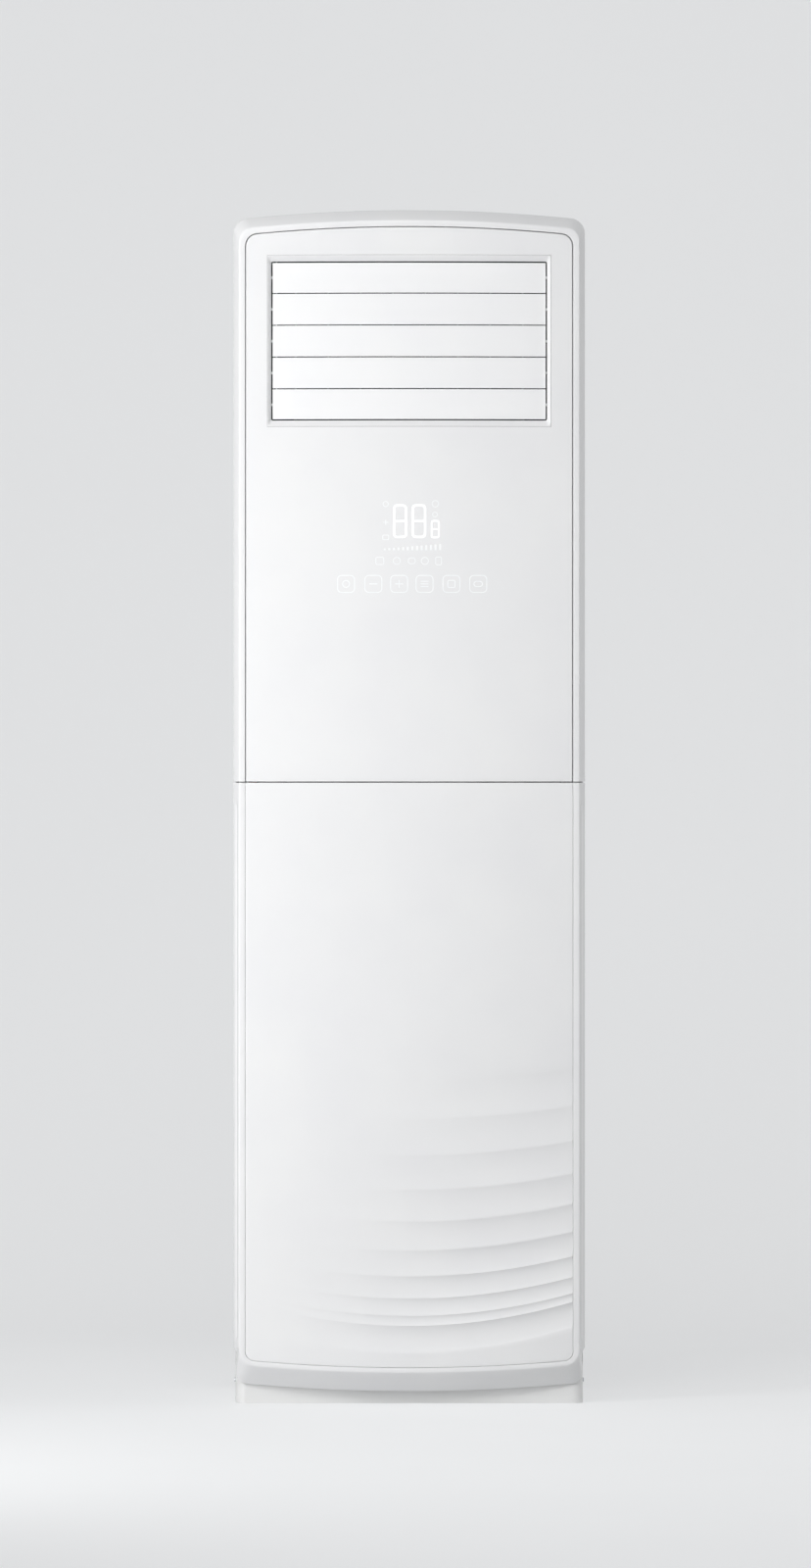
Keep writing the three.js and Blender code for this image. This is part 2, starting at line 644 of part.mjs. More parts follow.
function upperPanel() {
  const bottom = SEAM_HEIGHT + SEAM_GAP / 2;
  const above = box(-FAR, FAR, -FAR, FAR, bottom, FAR);
  const shell = bowSlab(0, PANEL_RETURN).intersect(prism("y", panelOutline(0), -FAR, FAR)).intersect(above);
  const hollow = prism("y", panelOutline(-MOULDED_WALL), -FAR, FAR)
    .intersect(box(-FAR, FAR, -FAR, FAR, bottom + MOULDED_WALL, FAR))
    .intersect(bowSlab(MOULDED_WALL, PANEL_RETURN + 5));
  const half = OUTLET_HALF + CLEARANCE;
  const window = box(-half, half, -FAR, FAR, OUTLET_BOTTOM - CLEARANCE, OUTLET_TOP + CLEARANCE);
  return cut(shell, hollow, window);
}

// ---- Cabinet ------------------------------------------------------------------------------

// Plan of the plinth: round front corners, square back.
function plinthPlan(inset) {
  const half = BODY_HALF - inset;
  const front = PLINTH_Y + inset;
  const rear = REAR_Y - inset;
  const corner = PLINTH_CORNER - inset;
  const rounded = roundedRectangle(-half, half, front, rear + 2 * corner, corner, 4);
  const nose = rounded.filter(([, y]) => y <= front + corner + 0.01);
  return [...nose, [half, rear], [-half, rear]];
}

function basePan() {
  const tray = prism("z", plinthPlan(0), 0, BASE_HEIGHT);
  const hollow = prism("z", plinthPlan(MOULDED_WALL), BASE_FLOOR, BASE_HEIGHT + 1);
  const ribs = [-1, 1].map((side) => {
    const x = side * (BODY_HALF - BASE_RIB_INSET);
    return box(x - BASE_RIB / 2, x + BASE_RIB / 2, PLINTH_Y + 1, REAR_Y - 1, 1, BASE_HEIGHT / 2);
  });
  const holes = [-1, 1].flatMap((side) =>
    [PLINTH_Y + ANCHOR_INSET, REAR_Y - ANCHOR_INSET].map((y) =>
      bar("z", ANCHOR_HOLE / 2, -1, BASE_FLOOR + 1, side * (BODY_HALF - ANCHOR_INSET), y, 8),
    ),
  );
  return cut(join(cut(tray, hollow), ...ribs), ...holes);
}

// Window of the side intake, as seen from the side.
function intakeWindow(outset) {
  const front = CABINET_FRONT_Y + INTAKE_FRONT;
  return {
    y0: front - outset,
    y1: front + INTAKE_DEPTH + outset,
    z0: INTAKE_BOTTOM - outset,
    z1: SHELF_HEIGHT - INTAKE_BELOW_SHELF + outset,
  };
}

// Side panel on the right: a folded sheet with front and rear flanges and the intake window.
function sidePanel() {
  const inner = BODY_HALF - BODY_FLANGE;
  const plan = [
    [inner, CABINET_FRONT_Y],
    [BODY_HALF, CABINET_FRONT_Y],
    [BODY_HALF, CABINET_REAR_Y],
    [inner, CABINET_REAR_Y],
    [inner, CABINET_REAR_Y - SHEET],
    [BODY_INSIDE, CABINET_REAR_Y - SHEET],
    [BODY_INSIDE, CABINET_FRONT_Y + SHEET],
    [inner, CABINET_FRONT_Y + SHEET],
  ];
  const window = intakeWindow(CLEARANCE);
  return cut(
    prism("z", plan, BASE_HEIGHT + CLEARANCE, SKIRT_HEIGHT - CLEARANCE),
    box(BODY_INSIDE - 5, BODY_HALF + 5, window.y0, window.y1, window.z0, window.z1),
  );
}

function mirrored(body) {
  return body.mirror([1, 0, 0]);
}

// Rear panel with upright stiffening beads and the opening for the pipes.
function rearPanel() {
  const [foot, head] = [BASE_HEIGHT + CLEARANCE, SKIRT_HEIGHT - CLEARANCE];
  const sheet = box(-BODY_HALF, BODY_HALF, REAR_Y - SHEET, REAR_Y, foot, head);
  const ridge = (x, half, front, rear) => [
    [x - half, front],
    [x + half, front],
    [x + half + BEAD_FLANK, rear],
    [x - half - BEAD_FLANK, rear],
  ];
  const bead = (x) => ridge(x, BEAD_WIDTH / 2, REAR_Y - SHEET - BEAD_DEPTH, REAR_Y - SHEET / 2);
  const groove = (x) => ridge(x, BEAD_WIDTH / 2 - 1, REAR_Y - BEAD_DEPTH, REAR_Y + 1);
  const beads = [-1, 0, 1].map((side) => side * BEAD_PITCH);
  const [low, high] = [BASE_HEIGHT + BEAD_FROM_BASE, SKIRT_HEIGHT - BEAD_FROM_SKIRT];
  const port = box(
    -BODY_HALF + PIPE_PORT_INSET,
    -BODY_HALF + PIPE_PORT_INSET + PIPE_PORT_WIDTH,
    REAR_Y - 10,
    REAR_Y + 10,
    PIPE_PORT_BOTTOM,
    PIPE_PORT_BOTTOM + PIPE_PORT_HEIGHT,
  );
  const ridged = join(sheet, ...beads.map((x) => prism("z", bead(x), low, high)));
  const hollows = beads.map((x) => prism("z", groove(x), low + BEAD_FLANK, high - BEAD_FLANK));
  return cut(ridged, ...hollows, port);
}

// Arched sheet cover: top, skirts and rear wall.
function topCover() {
  const coverCorner = RIM_CORNER_TOP - COVER_DROP;
  const outline = (inset) =>
    archedEnd(BODY_HALF - inset, HEIGHT - COVER_DROP - inset, TOP_ARCH_RADIUS, coverCorner - inset);
  const block = (inset, front, rear) => {
    const [half, foot] = [BODY_HALF - inset, SKIRT_HEIGHT - inset];
    return prism("y", [...outline(inset), [-half, foot], [half, foot]], front, rear);
  };
  return cut(block(0, CABINET_FRONT_Y, REAR_Y), block(SHEET, CABINET_FRONT_Y - 5, REAR_Y - SHEET));
}

// Hat-shaped bracket whose pad meets the wall.
function wallBracket() {
  const [half, pad] = [BRACKET_WIDTH / 2, BRACKET_PAD / 2];
  const thick = BRACKET_SHEET;
  const foot = REAR_Y + CLEARANCE;
  const section = [
    [-half, foot],
    [-pad - thick, foot],
    [-pad + thick, WALL_Y - thick],
    [pad - thick, WALL_Y - thick],
    [pad + thick, foot],
    [half, foot],
    [half, foot + thick],
    [pad + thick + 1, foot + thick],
    [pad + 1, WALL_Y],
    [-pad - 1, WALL_Y],
    [-pad - thick - 1, foot + thick],
    [-half, foot + thick],
  ];
  const top = HEIGHT - BRACKET_BELOW_TOP;
  return prism("z", section, top - BRACKET_HEIGHT, top);
}

// ---- Side intakes ---------------------------------------------------------------------------

// Moulded grille of the right intake: flange, collar and tilted slats.
function intakeGrille() {
  const face = BODY_HALF + CLEARANCE;
  const outer = intakeWindow(GRILLE_BORDER);
  const collar = intakeWindow(0);
  const inner = intakeWindow(-GRILLE_WALL);
  const outline = (w, r) => roundedRectangle(w.y0, w.y1, w.z0, w.z1, r, 3);
  const flange = prism("x", outline(outer, 5), face, face + GRILLE_FLANGE);
  const tube = box(face - GRILLE_REACH, face + 1, collar.y0, collar.y1, collar.z0, collar.z1);
  const hole = box(face - GRILLE_REACH - 1, face + GRILLE_FLANGE + 1, inner.y0, inner.y1, inner.z0, inner.z1);
  const pitch = (inner.z1 - inner.z0) / SLAT_COUNT;
  const slats = Array.from({ length: SLAT_COUNT }, (_, i) => {
    const z = inner.z0 + pitch * (i + 0.5);
    const [x0, x1] = [face - GRILLE_REACH / 2, face + GRILLE_FLANGE - 0.2];
    const rise = (x1 - x0) * SLAT_TILT;
    const section = [
      [x0, z - SLAT_THICK / 2],
      [x1, z - SLAT_THICK / 2 - rise],
      [x1, z + SLAT_THICK / 2 - rise],
      [x0, z + SLAT_THICK / 2],
    ];
    return prism("y", section, inner.y0 - GRILLE_WALL / 2, inner.y1 + GRILLE_WALL / 2);
  });
  return join(cut(join(flange, tube), hole), ...slats);
}

// Net filter inside the right grille's collar: a frame with cross bars that carry the net.
function intakeFilter() {
  const outer = intakeWindow(-GRILLE_WALL - CLEARANCE);
  const inner = intakeWindow(-GRILLE_WALL - CLEARANCE - FILTER_BORDER);
  const x0 = BODY_HALF + CLEARANCE - GRILLE_REACH;
  const x1 = x0 + FILTER_THICK;
  const frame = cut(
    box(x0, x1, outer.y0, outer.y1, outer.z0, outer.z1),
    box(x0 - 1, x1 + 1, inner.y0, inner.y1, inner.z0, inner.z1),
  );
  const rung = (inner.z1 - inner.z0) / (FILTER_BARS + 1);
  const bars = Array.from({ length: FILTER_BARS }, (_, i) => {
    const z = inner.z0 + rung * (i + 1);
    return box(x0, x1, inner.y0 - 1, inner.y1 + 1, z - 2, z + 2);
  });
  const net = box(x0 + 1.4, x1 - 1.4, inner.y0 - 1, inner.y1 + 1, inner.z0 - 1, inner.z1 + 1);
  return join(frame, ...bars, net);
}

// ---- Outlet -------------------------------------------------------------------------------

// Outline of the outlet, anticlockwise, with points along its top and bottom for the bow.
function outletOutline(inset, tallInset = inset) {
  const segments = 8;
  const half = OUTLET_HALF - inset;
  const xs = Array.from({ length: segments + 1 }, (_, i) => half - (2 * half * i) / segments);
  const top = xs.map((x) => [x, OUTLET_TOP - tallInset]);
  const bottom = xs.map((x) => [-x, OUTLET_BOTTOM + tallInset]);
  return [...top, ...bottom];
}

function louvreFrame() {
  const onBow = (outline, back) => outline.map(([x, z]) => [x, bowY(x, back), z]);
  const at = (outline, y) => outline.map(([x, z]) => [x, y, z]);
  const opening = outletOutline(OUTLET_BEVEL_SIDE, OUTLET_BEVEL_TALL);
  const ring = skinRing([
    onBow(opening, OUTLET_BEVEL_DEPTH),
    onBow(outletOutline(0), CLEARANCE),
    at(outletOutline(0), FRAME_BACK_Y),
    at(outletOutline(OUTLET_WALL), FRAME_BACK_Y),
    onBow(outletOutline(OUTLET_WALL), OUTLET_BEVEL_DEPTH),
    onBow(opening, OUTLET_BEVEL_DEPTH + OUTLET_EDGE),
  ]);
  const bore = PIVOT_RADIUS + PIVOT_PLAY;
  const bores = Array.from({ length: BLADE_COUNT }, (_, i) =>
    bar("x", bore, -FAR / 2, FAR / 2, BLADE_AXIS_Y, bladeHeight(i), 8),
  );
  const vaneBore = bar("z", bore, OUTLET_BOTTOM - 5, OUTLET_BOTTOM + 5, vaneX(0), VANE_AXIS_Y, 12);
  return cut(ring, ...bores, vaneBore);
}

// Height of a blade's pivot; blade 0 is the top one.
function bladeHeight(i) {
  return OPENING_BOTTOM + OPENING_HEIGHT - BLADE_PITCH * (i + 0.5);
}

// One bowed blade round its pivot axis, with an ear and pin at each end and a crank at the left.
function louvreBlade() {
  const half = OPENING_HALF - BLADE_GAP / 2;
  const tall = (BLADE_PITCH - BLADE_GAP) / 2;
  const faceY = (x) => bowY(x, BLADE_FACE_DEPTH) - BLADE_AXIS_Y;
  const xs = Array.from({ length: 9 }, (_, i) => -half + (half * i) / 4);
  const face = xs.map((x) => [x, faceY(x)]);
  const back = xs.map((x) => [x, faceY(x) + BLADE_THICK]).reverse();
  const skin = prism("z", [...face, ...back], -tall, tall);
  const ear = [
    [-2.5, -7],
    [PIVOT_RADIUS + 1, -2.6],
    [PIVOT_RADIUS + 1, 2.6],
    [-2.5, 7],
  ];
  const pinEnd = OUTLET_HALF - OUTLET_WALL / 2;
  const ends = [-1, 1].flatMap((side) => {
    const [x0, x1] = [side * (half - 3), side * half].sort((a, b) => a - b);
    const [p0, p1] = [side * (half - 1), side * pinEnd].sort((a, b) => a - b);
    return [prism("x", ear, x0, x1), bar("x", PIVOT_RADIUS, p0, p1, 0, 0, 8)];
  });
  const root = faceY(CRANK_X) + BLADE_THICK * 0.7;
  const boss = CRANK_PIN_RADIUS + 1.3;
  const crank = [
    [root, tall * 0.1],
    [CRANK_BACK, tall * 0.4],
    [CRANK_BACK + boss, CRANK_UP - boss],
    [CRANK_BACK + boss, CRANK_UP + boss],
    [CRANK_BACK - boss, CRANK_UP + boss],
    [CRANK_BACK - boss, CRANK_UP - boss],
    [root, tall * 0.8],
  ];
  const arm = prism("x", crank, CRANK_X - LINK_THICK / 2, CRANK_X + LINK_THICK / 2);
  const pin = bar("x", CRANK_PIN_RADIUS, LINK_X - LINK_THICK, CRANK_X, CRANK_BACK, CRANK_UP, 8);
  return join(skin, ...ends, arm, pin);
}

// Upright bar on the blades' crank pins, round the middle blade's crank pin.
function louvreLink() {
  const reach = (BLADE_PITCH * (BLADE_COUNT - 1)) / 2;
  const half = LINK_WIDTH / 2;
  const outline = roundedRectangle(-half, half, -reach - half, reach + half, half - 0.1, 3);
  const bores = Array.from({ length: BLADE_COUNT }, (_, i) =>
    bar("x", CRANK_PIN_RADIUS + LINK_PLAY, LINK_X - 5, LINK_X + 5, 0, reach - i * BLADE_PITCH, 8),
  );
  return cut(prism("x", outline, LINK_X - LINK_THICK / 2, LINK_X + LINK_THICK / 2), ...bores);
}

// Stepper motor along +Z with an off-centre shaft at the origin, two lugs and a connector.
function stepper(shaftReach) {
  const body = bar("z", MOTOR_RADIUS, -MOTOR_LENGTH, 0, 0, -MOTOR_OFFSET, 14);
  const reach = MOTOR_RADIUS + 2 * MOTOR_LUG_INSET;
  const half = MOTOR_LUG_WIDTH / 2;
  const lug = roundedRectangle(-reach, reach, -MOTOR_OFFSET - half, -MOTOR_OFFSET + half, half - 0.1, 3);
  const plate = prism("z", lug, -1.2, 0);
  const holeX = MOTOR_RADIUS + MOTOR_LUG_INSET;
  const holes = [-1, 1].map((side) => bar("z", 2.1, -5, 5, side * holeX, -MOTOR_OFFSET, 8));
  const plug = box(-7, 7, -MOTOR_OFFSET - MOTOR_RADIUS - 3, -MOTOR_OFFSET, -MOTOR_LENGTH + 1, -3);
  const shaft = bar("z", PIVOT_RADIUS * 0.8, -1, shaftReach, 0, 0, 10);
  return join(cut(join(body, plate), ...holes), plug, shaft);
}

function vaneX(i) {
  return (i - (VANE_COUNT - 1) / 2) * VANE_PITCH;
}

// Upright vane round its pivot axis, standing on z = 0, notched for the link.
function vane() {
  const half = VANE_CHORD / 2;
  const notch = VANE_CRANK - LINK_WIDTH;
  const outline = [
    [-half, 0],
    [notch, 0],
    [notch, VANE_NOTCH],
    [half, VANE_NOTCH],
    [half, VANE_TALL - VANE_NOTCH],
    [notch, VANE_TALL],
    [-half, VANE_TALL],
  ];
  const blade = prism("x", outline, -VANE_THICK / 2, VANE_THICK / 2);
  const pinReach = RAIL_HEIGHT - CLEARANCE;
  const footPin = bar("z", PIVOT_RADIUS, -pinReach, 4, 0, 0, 6);
  const headPin = bar("z", PIVOT_RADIUS, VANE_TALL - 4, VANE_TALL + pinReach, 0, 0, 6);
  const crank = bar("z", CRANK_PIN_RADIUS, 2, VANE_NOTCH + 3, 0, VANE_CRANK, 6);
  return join(blade, footPin, headPin, crank);
}

// Cross bar under the vanes' notches, round the first vane's crank pin.
function vaneLink() {
  const half = LINK_WIDTH / 2;
  const span = VANE_PITCH * (VANE_COUNT - 1);
  const outline = roundedRectangle(-half, span + half, -half, half, half - 0.1, 3);
  const bores = Array.from({ length: VANE_COUNT }, (_, i) =>
    bar("z", CRANK_PIN_RADIUS + LINK_PLAY, -5, LINK_THICK + 5, i * VANE_PITCH, 0, 6),
  );
  return cut(prism("z", outline, 0, LINK_THICK), ...bores);
}

// Rail with the vanes' bearings, seated on the frame's wall from z = 0 up.
function vaneRail() {
  const half = OUTLET_HALF - OUTLET_WALL - CLEARANCE;
  const rail = box(-half, half, -RAIL_WIDTH / 2, RAIL_WIDTH / 2, 0, RAIL_HEIGHT);
  const bores = Array.from({ length: VANE_COUNT }, (_, i) =>
    bar("z", PIVOT_RADIUS + PIVOT_PLAY, -1, RAIL_HEIGHT + 1, vaneX(i), 0, 8),
  );
  return cut(rail, ...bores);
}

// Foam liner: an upright front wall that opens into a scoop behind the louvre frame.
function dischargeDuct() {
  const rear = REAR_Y - SHEET - 3 - CLEARANCE;
  const mouth = FRAME_BACK_Y + CLEARANCE;
  const front = FRONT_Y + DUCT_FRONT_DEPTH;
  const half = OUTLET_HALF - OUTLET_WALL;
  const [roof, sill] = [OUTLET_TOP - OUTLET_WALL, OUTLET_BOTTOM + OUTLET_WALL];
  const slopeFoot = sill - DUCT_WALL - DUCT_THROAT;
  const scoop = (inset) => {
    const radius = DUCT_SCOOP - inset;
    return Array.from({ length: 9 }, (_, i) => {
      const angle = (i / 8) * (Math.PI / 2);
      return [
        rear - DUCT_SCOOP + radius * Math.cos(angle),
        roof + DUCT_WALL - DUCT_SCOOP + radius * Math.sin(angle),
      ];
    });
  };
  const outer = [
    [front, DUCT_FOOT],
    [rear, DUCT_FOOT],
    ...scoop(0),
    [mouth, roof + DUCT_WALL],
    [mouth, sill - DUCT_WALL],
    [front, slopeFoot],
  ];
  const inner = [
    [front + DUCT_WALL, DUCT_FOOT - 10],
    [rear - DUCT_WALL, DUCT_FOOT - 10],
    ...scoop(DUCT_WALL),
    [mouth - 10, roof],
    [mouth - 10, sill],
    [mouth + DUCT_WALL * 1.4, sill],
    [mouth + DUCT_WALL * 1.4, sill - DUCT_WALL / 2],
    [front + DUCT_WALL, slopeFoot - 2],
  ];
  const below = box(-FAR, FAR, front + DUCT_WALL, FAR, -FAR, slopeFoot - 3);
  return cut(prism("x", outer, -half - DUCT_WALL, half + DUCT_WALL), prism("x", inner, -half, half), below);
}

// ---- Coil and drain -------------------------------------------------------------------------

// Place, seen from the side, at a length up the leaning coil and a distance behind its middle.
function coilPoint(up, back) {
  return [
    COIL_FOOT_Y + up * Math.sin(COIL_LEAN) + back * Math.cos(COIL_LEAN),
    COIL_FOOT_HEIGHT + up * Math.cos(COIL_LEAN) - back * Math.sin(COIL_LEAN),
  ];
}

// Fin pack in the coil's own frame: a comb on both sides of a core.
function evaporatorFins() {
  const half = COIL_HALF - CLEARANCE;
  const pitch = (2 * half) / (FIN_SLOTS + 1);
  const tooth = (side) => {
    const points = [];
    for (let i = 0; i < FIN_SLOTS; i += 1) {
      const x = -half + pitch * (i + 1);
      points.push([x - FIN_SLOT / 2, (side * COIL_THICK) / 2], [x - FIN_SLOT / 2, (side * FIN_CORE) / 2]);
      points.push([x + FIN_SLOT / 2, (side * FIN_CORE) / 2], [x + FIN_SLOT / 2, (side * COIL_THICK) / 2]);
    }
    return points;
  };
  const deep = COIL_THICK / 2;
  const frontSide = [[-half, -deep], ...tooth(-1), [half, -deep]];
  const backSide = [[half, deep], ...tooth(1).reverse(), [-half, deep]];
  return prism("z", [...frontSide, ...backSide], 0, COIL_LENGTH);
}

// End plate of the coil on the right, with a foot in the drain pan; bends join the tube rows.
function coilPlate(withBends) {
  const m = COIL_PLATE_MARGIN;
  const deep = COIL_THICK / 2 + m;
  const x0 = COIL_HALF;
  const x1 = x0 + COIL_PLATE;
  const outline = [
    coilPoint(-m, -deep),
    coilPoint(-m, deep),
    coilPoint(COIL_LENGTH + m, deep),
    coilPoint(COIL_LENGTH + m, -deep),
  ];
  const footHalf = COIL_THICK / 2 - COIL_FOOT_INSET;
  const floor = SHELF_HEIGHT + SHEET + CLEARANCE + PAN_WALL + CLEARANCE;
  const footTop = COIL_FOOT_HEIGHT + COIL_FOOT_LAP;
  const foot = box(x0, x1, COIL_FOOT_Y - footHalf, COIL_FOOT_Y + footHalf, floor, footTop);
  const plate = join(prism("x", outline, x0, x1), foot);
  if (!withBends) return plate;
  const reach = COIL_THICK / 4;
  const bends = Array.from({ length: BEND_COUNT }, (_, i) => {
    const up = (COIL_LENGTH * (i + 0.5)) / BEND_COUNT;
    const [low, high] = [coilPoint(up, -reach), coilPoint(up, reach)];
    const out = x1 + reach + TUBE_RADIUS + 3;
    const path = [
      [x0 + 0.5, ...low],
      [out, ...low],
      [out, ...high],
      [x0 + 0.5, ...high],
    ];
    return tube(path, TUBE_RADIUS, reach - 1, 6, 7);
  });
  return join(plate, ...bends);
}

function drainPan() {
  const y0 = FRONT_Y + DUCT_FRONT_DEPTH;
  const [z0, half] = [SHELF_HEIGHT + SHEET + CLEARANCE, COIL_HALF + PAN_BESIDE_COIL];
  const outer = prism("z", roundedRectangle(-half, half, y0, y0 + PAN_REACH, 6, 3), z0, z0 + PAN_DEPTH);
  const [w, y1] = [PAN_WALL, y0 + PAN_REACH];
  const inner = roundedRectangle(-half + w, half - w, y0 + w, y1 - w, 4, 3);
  const [spoutX, spoutZ] = [half - SPOUT_INSET, z0 + w + SPOUT_RADIUS];
  const spout = bar("y", SPOUT_RADIUS, y1 - 1, y1 + SPOUT_LENGTH, spoutX, spoutZ, 14);
  const bore = bar("y", SPOUT_RADIUS - 2, y1 - w - 1, y1 + SPOUT_LENGTH + 1, spoutX, spoutZ, 14);
  return cut(join(outer, spout), prism("z", inner, z0 + PAN_WALL, z0 + PAN_DEPTH + 1), bore);
}

// Pipe from the coil's left end plate, down past the shelf to its union near the rear opening.
function refrigerantPipe(radius, up, y) {
  const [startY, startZ] = coilPoint(up, 0);
  const x = -PIPE_DROP_X;
  return tube(
    [
      [-COIL_HALF - COIL_PLATE - CLEARANCE, startY, startZ],
      [x, startY, startZ],
      [x, y, startZ - Math.abs(y - startY)],
      [x, y, UNION_HEIGHT],
    ],
    radius,
    radius * 2.2,
    8,
    18,
  );
}

// Hexagonal union nut round the lower end of a pipe.
function flareNut(radius, y) {
  const size = radius * 1.9;
  const hexagon = Array.from({ length: 6 }, (_, i) => {
    const angle = (i * Math.PI) / 3;
    return [-PIPE_DROP_X + size * Math.cos(angle), y + size * Math.sin(angle)];
  });
  const nut = prism("z", hexagon, UNION_HEIGHT - 4, UNION_HEIGHT + radius * 2.2);
  return cut(nut, bar("z", radius + CLEARANCE, UNION_HEIGHT - 10, UNION_HEIGHT + 40, -PIPE_DROP_X, y, 16));
}

function partitionShelf() {
  const half = BODY_INSIDE - CLEARANCE;
  const y0 = CABINET_FRONT_Y + SHEET + CLEARANCE;
  const y1 = REAR_Y - SHEET - 3 - CLEARANCE;
  const z = SHELF_HEIGHT;
  const sheet = box(-half, half, y0, y1, z, z + SHEET);
  const flangeHalf = BODY_HALF - BODY_FLANGE - 1;
  const flange = box(-flangeHalf, flangeHalf, y0, y0 + SHEET, z - SHELF_FLANGE, z + SHEET / 2);
  const neck = box(
    -NECK_LEFT + SCROLL_WALL,
    SCROLL_END,
    SCROLL_FRONT_Y + SCROLL_WALL,
    SCROLL_FRONT_Y + SCROLL_WIDTH - SCROLL_WALL,
    z - 5,
    z + 5,
  );
  const pipes = box(-PIPE_DROP_X - 12, -PIPE_DROP_X + 12, LIQUID_PIPE_Y - 12, GAS_PIPE_Y + 16, z - 5, z + 5);
  return cut(join(sheet, flange), neck, pipes);
}

// ---- Blower -------------------------------------------------------------------------------

// Revolves a profile of (radius, y) points about the y axis.
function revolve(points, segments, closed = false) {
  const profile = points.map(([r, y]) => new THREE.Vector2(r, y));
  if (closed) profile.push(profile[0].clone());
  return solid(new THREE.LatheGeometry(profile, segments));
}

// Side outline of the scroll round the wheel's axis, with its neck up to the shelf.
function scrollOutline(wall, start, top) {
  const steps = 22;
  const points = Array.from({ length: steps + 1 }, (_, i) => {
    const angle = start + ((2 * Math.PI - start) * i) / steps;
    const turn = (angle - SCROLL_TONGUE) / (2 * Math.PI - SCROLL_TONGUE);
    const radius = SCROLL_START + (SCROLL_END - SCROLL_START) * turn + wall;
    return [radius * Math.cos(angle), WHEEL_HEIGHT + radius * Math.sin(angle)];
  });
  return [...points, [SCROLL_END + wall, top], [-NECK_LEFT + SCROLL_WALL - wall, top]];
}

function blowerHousing() {
  const top = SHELF_HEIGHT - CLEARANCE;
  const rear = SCROLL_FRONT_Y + SCROLL_WIDTH;
  const outside = scrollOutline(SCROLL_WALL, SCROLL_TONGUE + 0.12, top);
  const inside = scrollOutline(0, SCROLL_TONGUE, top + 1);
  const shaftHole = bar("y", MOTOR_BOSS_RADIUS + 8, rear - 10, rear + 10, 0, WHEEL_HEIGHT, 24);
  return cut(
    prism("y", outside, SCROLL_FRONT_Y, rear),
    prism("y", inside, SCROLL_FRONT_Y - 1, rear - SCROLL_WALL),
    shaftHole,
  );
}

// Front plate of the scroll with its bell mouth.
function inletRing() {
  const back = SCROLL_FRONT_Y - CLEARANCE;
  const front = back - SCROLL_WALL;
  const outline = scrollOutline(SCROLL_WALL, SCROLL_TONGUE + 0.12, SHELF_HEIGHT - CLEARANCE);
  const rimRadius = INLET_RADIUS + INLET_DEPTH;
  const hole = bar("y", rimRadius - 1, front - 1, back + 1, 0, WHEEL_HEIGHT, 24);
  const arc = (radius) =>
    Array.from({ length: 4 }, (_, i) => {
      const angle = -Math.PI / 2 - (i / 3) * (Math.PI / 2);
      return [rimRadius + radius * Math.cos(angle), front + INLET_DEPTH + radius * Math.sin(angle)];
    });
  const mouth = revolve([...arc(INLET_DEPTH - SCROLL_WALL + 0.2), ...arc(INLET_DEPTH).reverse()], 24, true);
  return join(cut(prism("y", outline, front, back), hole), mouth.translate([0, 0, WHEEL_HEIGHT]));
}

// Centrifugal wheel with forward-curved blades, round its own axis.
function blowerWheel() {
  const front = SCROLL_FRONT_Y + WHEEL_SETBACK;
  const back = front + WHEEL_WIDTH;
  const inner = WHEEL_RADIUS - WHEEL_BLADE_CHORD;
  const ring = revolve(
    [
      [WHEEL_RADIUS - WHEEL_BLADE_CHORD / 2, front],
      [WHEEL_RADIUS, front],
      [WHEEL_RADIUS, front + WHEEL_RING],
      [WHEEL_RADIUS - WHEEL_BLADE_CHORD / 2, front + WHEEL_RING],
    ],
    WHEEL_BLADES,
    true,
  );
  const bore = SHAFT_RADIUS + CLEARANCE;
  const plate = revolve(
    [
      [bore, back - HUB_LENGTH],
      [HUB_RADIUS, back - HUB_LENGTH],
      [HUB_RADIUS, back - WHEEL_BACK_PLATE],
      [WHEEL_RADIUS, back - WHEEL_BACK_PLATE],
      [WHEEL_RADIUS, back],
      [bore, back],
    ],
    WHEEL_BLADES,
    true,
  );
  const stations = [0, 0.55, 1];
  const blades = Array.from({ length: WHEEL_BLADES }, (_, i) => {
    const edge = (shift) =>
      stations.map((t) => {
        const radius = inner + (WHEEL_RADIUS - 1 - inner) * t;
        const angle = (i / WHEEL_BLADES) * 2 * Math.PI + 0.11 * t * t + shift / radius;
        return [radius * Math.cos(angle), radius * Math.sin(angle)];
      });
    return prism("y", [...edge(-0.9), ...edge(0.9).reverse()], front + 1, back - 1);
  });
  return join(ring, plate, ...blades);
}

function hexagonAlongY(size, from, to, bore) {
  const points = Array.from({ length: 6 }, (_, i) => {
    const angle = (i * Math.PI) / 3;
    return [size * Math.cos(angle), size * Math.sin(angle)];
  });
  return cut(prism("y", points, from, to), bar("y", bore, from - 1, to + 1, 0, 0, 16));
}

function wheelNut() {
  const back = SCROLL_FRONT_Y + WHEEL_SETBACK + WHEEL_WIDTH - HUB_LENGTH - CLEARANCE;
  return hexagonAlongY(SHAFT_RADIUS * 1.8, back - NUT_THICK, back, SHAFT_RADIUS + CLEARANCE);
}

function motorShaft() {
  const nutFront = SCROLL_FRONT_Y + WHEEL_SETBACK + WHEEL_WIDTH - HUB_LENGTH - CLEARANCE - NUT_THICK;
  return bar("y", SHAFT_RADIUS, nutFront - 3, FAN_MOTOR_Y + SHAFT_IN_MOTOR, 0, 0, 16);
}

function fanMotor() {
  const [y, r, bore] = [FAN_MOTOR_Y, FAN_MOTOR_RADIUS, SHAFT_RADIUS + CLEARANCE];
  const bottom = y + SHAFT_IN_MOTOR + CLEARANCE;
  return revolve(
    [
      [0, bottom],
      [bore, bottom],
      [bore, y - MOTOR_BOSS_LENGTH],
      [MOTOR_BOSS_RADIUS, y - MOTOR_BOSS_LENGTH],
      [MOTOR_BOSS_RADIUS, y],
      [r - 5, y],
      [r, y + 5],
      [r, y + FAN_MOTOR_LENGTH - 14],
      [r - 8, y + FAN_MOTOR_LENGTH],
      [0, y + FAN_MOTOR_LENGTH],
    ],
    20,
  );
}

